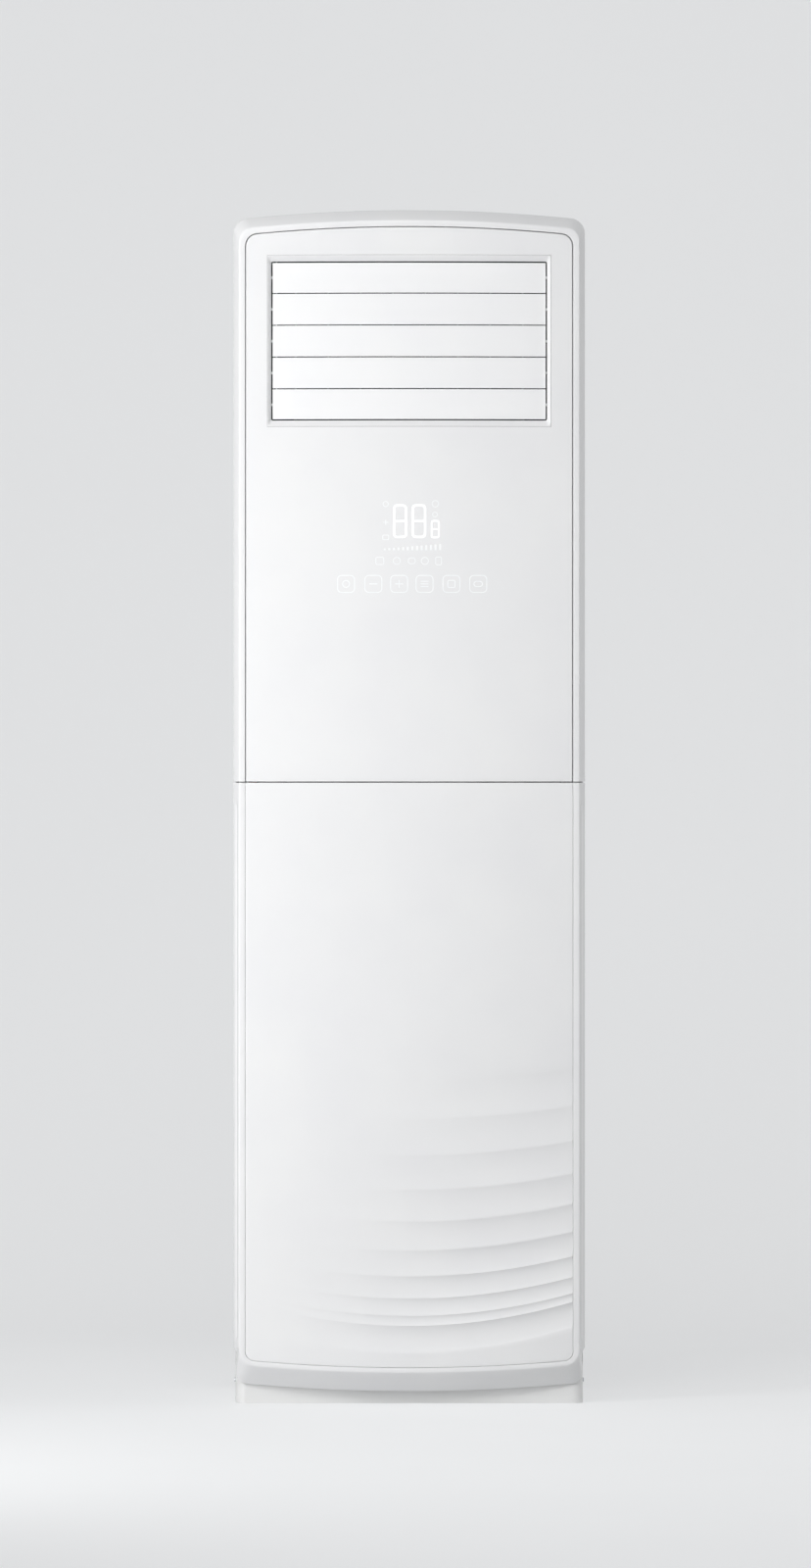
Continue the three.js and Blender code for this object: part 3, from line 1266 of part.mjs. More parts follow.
// Plate between the housing's back and the motor, with folded edges.
function motorBracket() {
  const front = SCROLL_FRONT_Y + SCROLL_WIDTH + CLEARANCE;
  const half = FAN_MOTOR_RADIUS + 32;
  const plate = prism("y", roundedRectangle(-half, half, -half, half, 14, 3), front, front + BRACKET_PLATE);
  const folds = [-1, 1].map((side) => {
    const [z0, z1] = [side * (half - BRACKET_PLATE), side * half].sort((a, b) => a - b);
    return box(-half + 20, half - 20, front + 1, front + 16, z0, z1);
  });
  const hole = bar("y", MOTOR_BOSS_RADIUS + 2, front - 1, front + BRACKET_PLATE + 1, 0, 0, 16);
  const windows = [-1, 1].flatMap((sx) =>
    [-1, 1].map((sz) => bar("y", 9, front - 1, front + 20, sx * (half - 20), sz * (half - 20), 8)),
  );
  return cut(join(plate, ...folds), hole, ...windows);
}

// ---- Electrics ------------------------------------------------------------------------------

function controlBox() {
  const [half, top] = [BOX_WIDTH / 2, BOX_BOTTOM + BOX_HEIGHT];
  const outer = box(-half, half, BOX_FRONT_Y, BOX_REAR_Y, BOX_BOTTOM, top);
  const w = BOX_WALL;
  const inner = box(-half + w, half - w, BOX_FRONT_Y - 1, BOX_REAR_Y - w, BOX_BOTTOM + w, top - w);
  const posts = [
    [BOARD_LEFT + 8, BOARD_BOTTOM + 8],
    [BOARD_LEFT + BOARD_WIDTH - 8, BOARD_BOTTOM + 8],
    [BOARD_LEFT + 8, BOARD_BOTTOM + BOARD_HEIGHT - 8],
    [BOARD_LEFT + BOARD_WIDTH - 8, BOARD_BOTTOM + BOARD_HEIGHT - 8],
  ].map(([x, z]) => bar("y", 3, BOX_REAR_Y - w - BOARD_STANDOFF, BOX_REAR_Y - w / 2, x, z, 8));
  const cableHole = bar("z", 12, BOX_BOTTOM - 1, BOX_BOTTOM + w + 1, half - 40, BOX_REAR_Y - 22, 16);
  return cut(join(cut(outer, inner), ...posts), cableHole);
}

function controlBoxCover() {
  const [half, top] = [BOX_WIDTH / 2 + BOX_WALL + CLEARANCE, BOX_BOTTOM + BOX_HEIGHT + BOX_WALL + CLEARANCE];
  const bottom = BOX_BOTTOM - BOX_WALL - CLEARANCE;
  const front = BOX_FRONT_Y - CLEARANCE - BOX_WALL;
  const outer = box(-half, half, front, front + 12, bottom, top);
  const w = BOX_WALL;
  return cut(outer, box(-half + w, half - w, front + w, front + 20, bottom + w, top - w));
}

// Board with its larger parts standing on the front of it.
function controlBoard() {
  const back = BOX_REAR_Y - BOX_WALL - BOARD_STANDOFF - CLEARANCE;
  const front = back - BOARD_THICK;
  const [x, z] = [BOARD_LEFT, BOARD_BOTTOM];
  const board = box(x, x + BOARD_WIDTH, front, back, z, z + BOARD_HEIGHT);
  const seat = front + 0.5;
  const part = (left, bottom, size, from, to) =>
    box(left, left + size.width, from, to, bottom, bottom + size.tall);
  const relays = [0, 1, 2].map((i) =>
    part(x + PART_INSET + 2 + i * RELAY.pitch, z + PART_INSET, RELAY, front - RELAY.deep, seat),
  );
  const transformerFoot = z + BOARD_HEIGHT - TRANSFORMER.fromTop - TRANSFORMER.tall;
  const transformer = part(x + TRANSFORMER.inset, transformerFoot, TRANSFORMER, front - TRANSFORMER.deep, seat);
  const sinkBase = part(x + SINK.left, z + SINK.bottom, SINK, front - SINK.base, seat);
  const [finFoot, finHead] = [z + SINK.bottom + 2, z + SINK.bottom + SINK.tall - 2];
  const sink = [0, 1, 2, 3].map((i) => {
    const left = x + SINK.left + 2 + i * SINK.pitch;
    return box(left, left + SINK.fin, front - SINK.deep, front - SINK.base / 2, finFoot, finHead);
  });
  const plugs = [0, 1, 2, 3].map((i) =>
    part(x + PLUG.left + i * PLUG.pitch, z + PART_INSET, PLUG, front - PLUG.deep, seat),
  );
  return join(board, ...relays, transformer, sinkBase, ...sink, ...plugs);
}

// Terminal block with a groove for each of its ways, on the floor of the control box.
function terminalBlock() {
  const back = BOX_REAR_Y - BOX_WALL - CLEARANCE;
  const [x0, z0] = [TERMINAL_LEFT, BOX_BOTTOM + BOX_WALL + CLEARANCE];
  const pitch = TERMINAL_WIDTH / TERMINAL_WAYS;
  const profile = [
    [back, z0],
    [back, z0 + 30],
    [back - 8, z0 + 30],
    [back - 16, z0 + 22],
    [back - 20, z0 + 22],
    [back - 20, z0],
  ];
  const block = prism("x", profile, x0, x0 + TERMINAL_WIDTH);
  const ways = Array.from({ length: TERMINAL_WAYS }, (_, i) => {
    const x = x0 + pitch * i;
    return box(x + 1.5, x + pitch - 1.5, back - 25, back - 12, z0 + 6, z0 + 35);
  });
  return cut(block, ...ways);
}

function capacitor() {
  const [radius, length] = [CAPACITOR_RADIUS, CAPACITOR_LENGTH];
  const can = revolve(
    [
      [0, 0],
      [radius - 2, 0],
      [radius, 2],
      [radius, length - 1],
      [radius - 2, length],
      [radius - 4, length - 1.5],
      [0, length - 1.5],
    ],
    16,
  );
  const y = BOX_REAR_Y - BOX_WALL - CLEARANCE - radius;
  const [x, z] = [TERMINAL_LEFT + TERMINAL_WIDTH / 2, BOX_BOTTOM + CAPACITOR_ABOVE_BOX];
  return can.rotate([90, 0, 0]).translate([x, y, z]);
}

// Display and touch-key board behind the upper panel, with the raised digit module.
function displayBoard() {
  const half = DISPLAY_WIDTH / 2;
  const front = bowY(half, MOULDED_WALL) + CLEARANCE;
  const board = box(-half, half, front, front + BOARD_THICK, DISPLAY_BOTTOM, DISPLAY_BOTTOM + DISPLAY_HEIGHT);
  const moduleFront = bowY(DIGITS_HALF, MOULDED_WALL) + CLEARANCE;
  const top = DISPLAY_BOTTOM + DISPLAY_HEIGHT;
  const digits = box(-DIGITS_HALF, DIGITS_HALF, moduleFront, front + 0.5, top - DIGITS_HEIGHT - 4, top - 4);
  const keys = Array.from({ length: KEY_COUNT }, (_, i) => {
    const x = KEY_MIDDLE + (i - (KEY_COUNT - 1) / 2) * KEY_PITCH;
    const keyFront = bowY(Math.abs(x) + KEY_RADIUS, MOULDED_WALL) + CLEARANCE;
    const [from, to] = [Math.min(keyFront, front - 0.1), front + 0.5];
    return bar("y", KEY_RADIUS, from, to, x, DISPLAY_BOTTOM + KEY_HEIGHT, 8);
  });
  const plug = box(-20, 20, front, front + 10, DISPLAY_BOTTOM + 60, DISPLAY_BOTTOM + 72);
  return join(board, digits, ...keys, plug);
}

// ---- Assembly -------------------------------------------------------------------------------

function placed(mesh, x, y, z) {
  mesh.position.set(x, y, z);
  return mesh;
}

const cabinet = group(
  piece("base_pan", basePan(), whiteGloss),
  piece("lower_frame", lowerFrame(), whiteGloss),
  piece("upper_frame", upperFrame(), whiteGloss),
  piece("lower_panel", lowerPanel(), whiteGloss),
  piece("upper_panel", upperPanel(), whiteGloss),
  piece("top_cover", topCover(), whitePaint),
  piece("right_side_panel", sidePanel(), whitePaint),
  piece("left_side_panel", mirrored(sidePanel()), whitePaint),
  piece("rear_panel", rearPanel(), whitePaint),
  piece("wall_bracket", wallBracket(), zincSheet),
  piece("partition_shelf", partitionShelf(), zincSheet),
);

const intakes = group(
  piece("right_intake_grille", intakeGrille(), whiteGloss),
  piece("right_filter", intakeFilter(), darkPlastic),
  piece("left_intake_grille", mirrored(intakeGrille()), whiteGloss),
  piece("left_filter", mirrored(intakeFilter()), darkPlastic),
);

const louvres = group(placed(piece("louvre_link", louvreLink(), greyPlastic), 0, CRANK_BACK, CRANK_UP));
louvres.position.set(0, BLADE_AXIS_Y, (bladeHeight(0) + bladeHeight(BLADE_COUNT - 1)) / 2);
for (let i = 0; i < BLADE_COUNT; i += 1) {
  const blade = piece(`louvre_blade_${i + 1}`, louvreBlade(), whiteGloss);
  louvres.add(placed(blade, 0, 0, bladeHeight(i) - louvres.position.z));
}

const louvreMotor = piece("louvre_motor", stepper(OUTLET_WALL / 2), zincSheet);
louvreMotor.rotation.set(0, -Math.PI / 2, Math.PI);
louvreMotor.position.set(OUTLET_HALF + CLEARANCE, BLADE_AXIS_Y, louvres.position.z);

const vanes = group(placed(piece("vane_link", vaneLink(), greyPlastic), vaneX(0), VANE_CRANK, LINK_LIFT));
vanes.position.set(0, VANE_AXIS_Y, VANE_FOOT);
for (let i = 0; i < VANE_COUNT; i += 1) {
  vanes.add(placed(piece(`vane_${i + 1}`, vane(), whiteGloss), vaneX(i), 0, 0));
}

const upperRail = placed(piece("vane_rail_upper", vaneRail(), greyPlastic), 0, VANE_AXIS_Y, RAIL_TOP);
upperRail.rotation.y = Math.PI;
const vaneMotorReach = CLEARANCE + OUTLET_WALL + CLEARANCE + 2 * CLEARANCE;
const outlet = group(
  piece("louvre_frame", louvreFrame(), whiteGloss),
  louvres,
  louvreMotor,
  vanes,
  placed(piece("vane_rail_lower", vaneRail(), greyPlastic), 0, VANE_AXIS_Y, RAIL_BOTTOM),
  upperRail,
  placed(
    piece("vane_motor", stepper(vaneMotorReach), zincSheet),
    vaneX(0),
    VANE_AXIS_Y,
    OUTLET_BOTTOM - CLEARANCE,
  ),
  piece("discharge_duct", dischargeDuct(), foam),
);

const fins = placed(piece("evaporator_fins", evaporatorFins(), aluminium), 0, COIL_FOOT_Y, COIL_FOOT_HEIGHT);
fins.rotation.x = -COIL_LEAN;
const coil = group(
  fins,
  piece("evaporator_right_plate", coilPlate(true), zincSheet),
  piece("evaporator_left_plate", mirrored(coilPlate(false)), zincSheet),
  piece("gas_pipe", refrigerantPipe(GAS_RADIUS, COIL_LENGTH - GAS_PIPE_BELOW_COIL_TOP, GAS_PIPE_Y), copper),
  piece("liquid_pipe", refrigerantPipe(LIQUID_RADIUS, LIQUID_PIPE_UP, LIQUID_PIPE_Y), copper),
  piece("gas_flare_nut", flareNut(GAS_RADIUS, GAS_PIPE_Y), brass),
  piece("liquid_flare_nut", flareNut(LIQUID_RADIUS, LIQUID_PIPE_Y), brass),
  piece("drain_pan", drainPan(), greyPlastic),
);

const rotor = group(
  piece("blower_wheel", blowerWheel(), greyPlastic),
  piece("wheel_nut", wheelNut(), zincSheet),
  piece("motor_shaft", motorShaft(), zincSheet),
  piece("fan_motor", fanMotor(), zincSheet),
  piece("motor_bracket", motorBracket(), zincSheet),
);
rotor.position.z = WHEEL_HEIGHT;
const blower = group(
  piece("blower_housing", blowerHousing(), greyPlastic),
  piece("inlet_ring", inletRing(), greyPlastic),
  rotor,
);

const electrics = group(
  piece("control_box", controlBox(), zincSheet),
  piece("control_box_cover", controlBoxCover(), zincSheet),
  piece("control_board", controlBoard(), boardGreen),
  piece("terminal_block", terminalBlock(), darkPlastic),
  piece("capacitor", capacitor(), aluminium),
  piece("display_board", displayBoard(), boardGreen),
);

const airConditioner = group(cabinet, intakes, outlet, coil, blower, electrics);
airConditioner.name = "floor_standing_air_conditioner";

export default airConditioner;
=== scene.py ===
# %% [markdown]
# # Floor standing air conditioner
# A tall cabinet unit: two glossy white covers meet at a seam, a bevelled rim frames them, five
# blades close the outlet near the top, and the side walls draw air in low down. The bodies and
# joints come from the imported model, so each piece made here only gives one of them its looks.

import json
import math

import bmesh
import bpy
import numpy as np
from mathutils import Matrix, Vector


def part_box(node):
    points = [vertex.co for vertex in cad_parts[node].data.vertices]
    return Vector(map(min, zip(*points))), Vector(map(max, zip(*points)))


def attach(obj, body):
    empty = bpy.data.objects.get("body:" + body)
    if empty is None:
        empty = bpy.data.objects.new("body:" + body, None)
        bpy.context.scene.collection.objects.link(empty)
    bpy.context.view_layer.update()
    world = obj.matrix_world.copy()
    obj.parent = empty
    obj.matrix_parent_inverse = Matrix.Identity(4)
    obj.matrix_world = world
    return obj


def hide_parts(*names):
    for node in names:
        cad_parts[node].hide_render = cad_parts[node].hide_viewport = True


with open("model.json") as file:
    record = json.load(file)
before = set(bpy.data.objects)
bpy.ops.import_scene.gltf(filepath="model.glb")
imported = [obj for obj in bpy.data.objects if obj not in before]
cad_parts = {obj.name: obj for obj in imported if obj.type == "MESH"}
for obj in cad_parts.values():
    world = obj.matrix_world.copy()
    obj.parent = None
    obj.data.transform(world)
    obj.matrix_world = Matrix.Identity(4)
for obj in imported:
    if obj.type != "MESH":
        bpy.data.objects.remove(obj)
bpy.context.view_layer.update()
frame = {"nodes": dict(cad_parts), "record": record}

# %% [markdown]
# The photograph looks straight at the front from far away, so its verticals stay upright. A long
# lens far back gives the same view. The picture is taller than wide, so the sensor's 36 mm lie
# along its height, and 13.33 m in front of the covers they span 2.4 m.

# %% Camera
FRONT_Y = -0.2
PICTURE_HEIGHT = 2.4

lens = bpy.data.cameras.new("long_lens")
lens.lens = 200
lens.sensor_width = 36
lens.clip_end = 60
camera = bpy.data.objects.new("camera", lens)
camera.location = (-0.0056, FRONT_Y - PICTURE_HEIGHT * lens.lens / lens.sensor_width, 0.9505)
camera.rotation_euler = (math.pi / 2, 0, 0)
bpy.context.scene.collection.objects.link(camera)
bpy.context.scene.camera = camera
print("camera stands", round(-camera.location.y, 2), "m in front")

# %% [markdown]
# Colours are picked as screen values, so one function turns them into the linear numbers that
# the shader wants. A second adds a node, sets it up and links it. The others hold what all the
# finishes share: an empty material, a band of colours, and the links to the shader.

# %% Helpers for the finishes
def linear(hex_colour):
    """A screen colour such as #F7F7F7 as linear red, green, blue and alpha."""
    parts = [int(hex_colour[i : i + 2], 16) / 255 for i in (1, 3, 5)]
    return [p / 12.92 if p <= 0.04045 else ((p + 0.055) / 1.055) ** 2.4 for p in parts] + [1.0]


def add(tree, kind, inputs=None, **settings):
    """Adds a node with its settings, and fills or links its inputs."""
    made = tree.nodes.new(kind)
    for name, value in settings.items():
        setattr(made, name, value)
    for name, value in (inputs or {}).items():
        if isinstance(value, bpy.types.NodeSocket):
            tree.links.new(value, made.inputs[name])
        else:
            made.inputs[name].default_value = value
    return made


def blank_finish(name):
    """An empty material with its shader and the object's own coordinates in metres."""
    material = bpy.data.materials.new(name)
    material.use_nodes = True
    tree = material.node_tree
    tree.nodes.clear()
    shader = add(tree, "ShaderNodeBsdfPrincipled")
    add(tree, "ShaderNodeOutputMaterial", {"Surface": shader.outputs["BSDF"]})
    place = add(tree, "ShaderNodeTexCoord").outputs["Object"]
    return material, tree, shader, place


def ramp(tree, value, stops):
    """A colour ramp with stops given as position and screen colour."""
    made = add(tree, "ShaderNodeValToRGB", {"Fac": value})
    band = made.color_ramp
    while len(band.elements) < len(stops):
        band.elements.new(0.5)
    for element, (position, colour) in zip(band.elements, stops):
        element.position = position
        element.color = linear(colour)
    return made.outputs["Color"]


def surfaced(tree, shader, colour, wear, smooth, rough, height=None, depth_mm=0.0, strength=1.0):
    """Links what all finishes have: colour, roughness between two limits, and a relief."""
    worn = add(tree, "ShaderNodeMapRange", {"Value": wear, "To Min": smooth, "To Max": rough})
    tree.links.new(colour, shader.inputs["Base Color"])
    tree.links.new(worn.outputs["Result"], shader.inputs["Roughness"])
    if height is not None:
        relief = add(
            tree, "ShaderNodeBump", {"Height": height, "Distance": depth_mm / 1000, "Strength": strength}
        )
        tree.links.new(relief.outputs["Normal"], shader.inputs["Normal"])


MM = 1000  # pattern scales are given as repeats per metre: MM / 2 repeats every 2 mm
# %% [markdown]
# **White covers.** Polished moulds give ABS a wet gloss with only a trace of waviness, a few
# centimetres long, that bends reflections. Handling leaves fine patches where the gloss is a
# little duller. ABS has an index of refraction of about 1.54.

# %% Glossy moulded ABS
def moulded_gloss(name, light, shade, roughness):
    material, tree, shader, place = blank_finish(name)
    cloud = add(tree, "ShaderNodeTexNoise", {"Vector": place, "Scale": MM / 140, "Detail": 2.0}).outputs["Fac"]
    handled = add(tree, "ShaderNodeTexNoise", {"Vector": place, "Scale": MM / 35, "Detail": 4.0}).outputs["Fac"]
    wave = add(tree, "ShaderNodeTexNoise", {"Vector": place, "Scale": MM / 60, "Detail": 1.0}).outputs["Fac"]
    colour = ramp(tree, cloud, [(0.3, shade), (0.7, light)])
    surfaced(tree, shader, colour, handled, roughness * 0.85, roughness * 1.25, wave, 0.12)
    shader.inputs["IOR"].default_value = 1.54
    return material


gloss_white = moulded_gloss("abs_polished_mould_white", "#F6F6F6", "#F3F3F4", 0.2)
print("finish", gloss_white.name)

# %% [markdown]
# **Blades and grilles.** Here the mould is spark eroded, which prints a grain of about half a
# millimetre and turns the gloss into a soft sheen that hides scratches.

# %% Grained moulded ABS
def moulded_grain(name, light, shade, roughness, grain_mm=0.7):
    material, tree, shader, place = blank_finish(name)
    cloud = add(tree, "ShaderNodeTexNoise", {"Vector": place, "Scale": MM / 90, "Detail": 2.0}).outputs["Fac"]
    speck = {"Vector": place, "Scale": MM / grain_mm, "Detail": 1.0}
    grain = add(tree, "ShaderNodeTexNoise", speck).outputs["Fac"]
    colour = ramp(tree, cloud, [(0.3, shade), (0.7, light)])
    surfaced(tree, shader, colour, grain, roughness * 0.9, roughness * 1.15, grain, 0.03, 0.6)
    shader.inputs["IOR"].default_value = 1.53
    return material


satin_white = moulded_grain("abs_spark_eroded_white", "#F4F4F4", "#F0F1F1", 0.36)
blade_white = moulded_grain("abs_spark_eroded_bright_white", "#FCFCFC", "#F9F9FA", 0.32)
grey_plastic = moulded_grain("acetal_grey", "#8E9295", "#83878A", 0.45)
# charcoal plastic for the dark parts; on the outlet's duct walls the same charcoal is painted shade
charcoal_plastic_and_painted_shade = moulded_grain("polypropylene_charcoal_and_painted_shade", "#37393D", "#2D2F33", 0.5, 1.2)
print("finish", satin_white.name, blade_white.name, grey_plastic.name, charcoal_plastic_and_painted_shade.name)

# %% [markdown]
# **Cabinet walls.** White polyester powder melts on sheet steel into an orange peel of pits two
# or three millimetres wide. It is duller than the covers and a shade warmer.

# %% Powder coated steel
def powder_coat(name, light, shade):
    material, tree, shader, place = blank_finish(name)
    cloud = add(tree, "ShaderNodeTexNoise", {"Vector": place, "Scale": MM / 200, "Detail": 3.0}).outputs["Fac"]
    peel = add(tree, "ShaderNodeTexVoronoi", {"Vector": place, "Scale": MM / 2.6}, feature="SMOOTH_F1").outputs[
        "Distance"
    ]
    colour = ramp(tree, cloud, [(0.3, shade), (0.7, light)])
    surfaced(tree, shader, colour, cloud, 0.38, 0.48, peel, 0.05, 0.5)
    shader.inputs["IOR"].default_value = 1.5
    return material


coated_white = powder_coat("polyester_powder_on_steel", "#F1F1F0", "#EDEDEC")
print("finish", coated_white.name)

# %% [markdown]
# **Hot dipped zinc** freezes into flat crystals, the spangle, each with its own tilt and so its
# own grey. Brackets, the shelf and the electric box show it bare.

# %% Galvanised steel
def spangled_zinc(name):
    material, tree, shader, place = blank_finish(name)
    spangle = add(tree, "ShaderNodeTexVoronoi", {"Vector": place, "Scale": MM / 9, "Randomness": 1.0})
    tone = add(tree, "ShaderNodeSeparateColor", {"Color": spangle.outputs["Color"]}).outputs["Red"]
    colour = ramp(tree, tone, [(0.0, "#A9ADB0"), (0.5, "#B9BDBF"), (1.0, "#C9CCCE")])
    surfaced(tree, shader, colour, tone, 0.32, 0.5, spangle.outputs["Distance"], 0.02, 0.4)
    shader.inputs["Metallic"].default_value = 1.0
    return material


zinc = spangled_zinc("hot_dipped_galvanised_steel")
print("finish", zinc.name)

# %% [markdown]
# **Drawn and turned metal.** A pipe pulled through a die keeps long streaks, and turned brass
# keeps fine rings. Both are one recipe: noise squeezed along one axis, with the metal's colour
# and a little tarnish laid over it. Rolled fin stock is the same with tight streaks.

# %% Streaked metals
def streaked_metal(name, bright, dull, roughness, squeeze, streak_mm):
    material, tree, shader, place = blank_finish(name)
    turned = add(tree, "ShaderNodeMapping", {"Vector": place, "Scale": squeeze}).outputs["Vector"]
    drawn = {"Vector": turned, "Scale": MM / streak_mm, "Detail": 3.0}
    streak = add(tree, "ShaderNodeTexNoise", drawn).outputs["Fac"]
    stain = add(tree, "ShaderNodeTexNoise", {"Vector": place, "Scale": MM / 30, "Detail": 5.0}).outputs["Fac"]
    colour = ramp(tree, stain, [(0.35, bright), (0.75, dull)])
    surfaced(tree, shader, colour, streak, roughness * 0.7, roughness * 1.4, streak, 0.02, 0.5)
    shader.inputs["Metallic"].default_value = 1.0
    return material


copper = streaked_metal("drawn_copper", "#C98A66", "#9A5B3C", 0.3, (1, 1, 0.05), 1.5)
brass = streaked_metal("turned_brass", "#D2B36C", "#B08E48", 0.28, (0.1, 0.1, 1), 1.2)
fin_stock = streaked_metal("rolled_fin_aluminium", "#D9DCDD", "#C3C7C9", 0.35, (1, 0.04, 0.04), 1.8)
print("finish", copper.name, brass.name, fin_stock.name)

# %% [markdown]
# ** Bead foam** lines the air duct: beads of expanded polystyrene a few millimetres across are
# steamed together, so the skin shows a net of fine grooves where they meet. Its charcoal colour
# is painted shade, so nothing bright shows between the blades, and the grooves are painted darker
# still, as painted shade in them.

# %% Expanded polystyrene
def bead_foam(name):
    material, tree, shader, place = blank_finish(name)
    bead = add(tree, "ShaderNodeTexVoronoi", {"Vector": place, "Scale": MM / 4.5}, feature="DISTANCE_TO_EDGE")
    edge = bead.outputs["Distance"]
    groove = ramp(tree, edge, [(0.0, "#000000"), (0.12, "#FFFFFF")])
    # the charcoal, and the darker lines in the grooves, are painted shade
    colour = ramp(tree, edge, [(0.0, "#3A3C40"), (0.15, "#4A4C50")])
    surfaced(tree, shader, colour, edge, 0.75, 0.95, groove, 0.25, 0.7)
    return material


foam = bead_foam("bead_foam_with_painted_shade")
print("finish", foam.name)

# %% [markdown]
# **Circuit boards** are glass cloth in resin under a green lacquer. Copper tracks run under the
# lacquer in straight strips, so a brick pattern with rows a few millimetres apart stands for them.

# %% Lacquered laminate
def board_lacquer(name, light, shade, track):
    material, tree, shader, place = blank_finish(name)
    stood_up = {"Vector": place, "Rotation": (math.pi / 2, 0, 0)}
    upright = add(tree, "ShaderNodeMapping", stood_up).outputs["Vector"]
    tracks = add(
        tree,
        "ShaderNodeTexBrick",
        {
            "Vector": upright,
            "Color1": linear(light),
            "Color2": linear(shade),
            "Mortar": linear(track),
            "Scale": 1.0,
            "Mortar Size": 0.0004,
            "Brick Width": 0.021,
            "Row Height": 0.0048,
        },
    )
    copper_under = tracks.outputs["Fac"]
    surfaced(tree, shader, tracks.outputs["Color"], copper_under, 0.35, 0.25, copper_under, 0.04)
    return material


board_green = board_lacquer("epoxy_glass_board_green", "#2C6A45", "#275F3E", "#4E9468")
print("finish", board_green.name)
# %% [markdown]
# ## The front
# The two covers follow one cylinder with an upright axis, 2.24 m in radius, so the middle of the
# front stands proudest. Seen from the front, the outline has gently arched ends and round
# corners. Each outline is given by its half width, the heights of its ends and their corners,
# and the same rule serves the rim, the lip and the covers.

# %% Shape of the front
BOW_RADIUS = 2.240
TOP_ARCH = 2.680
BOTTOM_ARCH = 2.945
HALF_WIDTH = 0.270
TOP = 1.830
RIM_BOTTOM = 0.0198
BEVEL_SIDE, BEVEL_TOP, BEVEL_BOTTOM, BEVEL_DEPTH = 0.009, 0.0165, 0.0295, 0.020
LIP_SIDE, LIP_TOP, LIP_BOTTOM = 0.0095, 0.009, 0.0072
COVER_GAP = 0.0015
SNUG_GAP = 0.0004  # round the lower cover
SEAM = 0.9533
SEAM_HALF = 0.0008
KNEE, KNEE_STEP, KNEE_DROP = 0.088, 0.0045, 0.012
RIM_BACK, PLINTH_BACK = -0.140, -0.1623
GROOVE_INNER, GROOVE_OUTER, GROOVE_DEPTH = 0.2628, 0.2670, 0.0012
GROOVE_LOW, GROOVE_HIGH = 0.100, 0.9203


def bow_y(x, back=0.0):
    """Depth of the bowed surface at x, or of a layer that far behind it."""
    return FRONT_Y + back + BOW_RADIUS - math.sqrt(BOW_RADIUS**2 - x * x)


def arch_height(x, half, apex, radius, corner):
    """Height of an arched end with round corners, above the given x."""
    centre = apex - radius
    cx = half - corner
    cz = centre + math.sqrt((radius - corner) ** 2 - cx * cx)
    touch = cx + corner * cx / math.hypot(cx, cz - centre)
    if abs(x) <= touch:
        return centre + math.sqrt(radius**2 - x * x)
    return cz + math.sqrt(max(corner**2 - (abs(x) - cx) ** 2, 0.0))


def corner_xs(half, corner, steps):
    """Places across a round corner, close together where it is steep."""
    return [half - corner * (1 - math.sin(math.pi / 2 * i / steps)) for i in range(steps + 1)]


def end_path(half, apex, radius, corner, corner_steps=10, arch_steps=48):
    """An arched end from right to left as points x, z."""
    right = corner_xs(half, corner, corner_steps)[::-1]
    inner = right[-1]
    middle = [inner * (1 - 2 * i / arch_steps) for i in range(1, arch_steps)]
    xs = right + middle + [-x for x in reversed(right)]
    return [(x, arch_height(x, half, apex, radius, corner)) for x in xs]


print("bow falls back", round((bow_y(HALF_WIDTH) - FRONT_Y) * 1000, 1), "mm at the sides")

# %% [markdown]
# A finished piece is a plain mesh: its doubles are merged, its faces point outwards, round areas
# shade smooth, and edges sharper than a set angle stay crisp. Then it is told which body it
# rides on and which imported nodes it stands for.

# %% Helpers for the pieces
def mesh_piece(name, points, faces, material, smooth_angle=32, outward=True):
    """A new object made of points and faces, merged, closed and shaded."""
    mesh = bpy.data.meshes.new(name)
    mesh.from_pydata([tuple(p) for p in points], [], [tuple(f) for f in faces])
    made = bpy.data.objects.new(name, mesh)
    bpy.context.scene.collection.objects.link(made)
    work = bmesh.new()
    work.from_mesh(mesh)
    bmesh.ops.remove_doubles(work, verts=work.verts, dist=2e-6)
    if outward:
        bmesh.ops.recalc_face_normals(work, faces=work.faces)
    work.to_mesh(mesh)
    work.free()
    mesh.shade_smooth()
    mesh.set_sharp_from_angle(angle=math.radians(smooth_angle))
    mesh.materials.append(material)
    return made


def settle(piece, body, slot, *nodes):
    """Puts a finished piece on its body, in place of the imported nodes."""
    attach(piece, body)
    if nodes:
        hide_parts(*nodes)
    print(piece.name, "on", body, "with", len(piece.data.polygons), "faces")
    return piece


def skin_loops(loops, caps=False):
    """Points and faces through open paths of equal length; the last path joins the first."""
    count = len(loops[0])
    points = [p for loop in loops for p in loop]
    faces = []
    for i in range(len(loops)):
        j = (i + 1) % len(loops)
        for k in range(count - 1):
            faces.append((i * count + k, j * count + k, j * count + k + 1, i * count + k + 1))
    if caps:
        faces.append([i * count for i in range(len(loops))][::-1])
        faces.append([i * count + count - 1 for i in range(len(loops))])
    return points, faces


# %% [markdown]
# ## The bevelled rim
# The rim is one moulding of constant section, split at the seam. A section swept round the
# outline makes it: a ledge under the cover, the flat lip, the bevel and the outer wall, each
# edge rounded by half a millimetre so that it catches a thin highlight. Down both sides of the
# lower half a shallow groove runs along the bevel: the same section, pressed in by a millimetre.

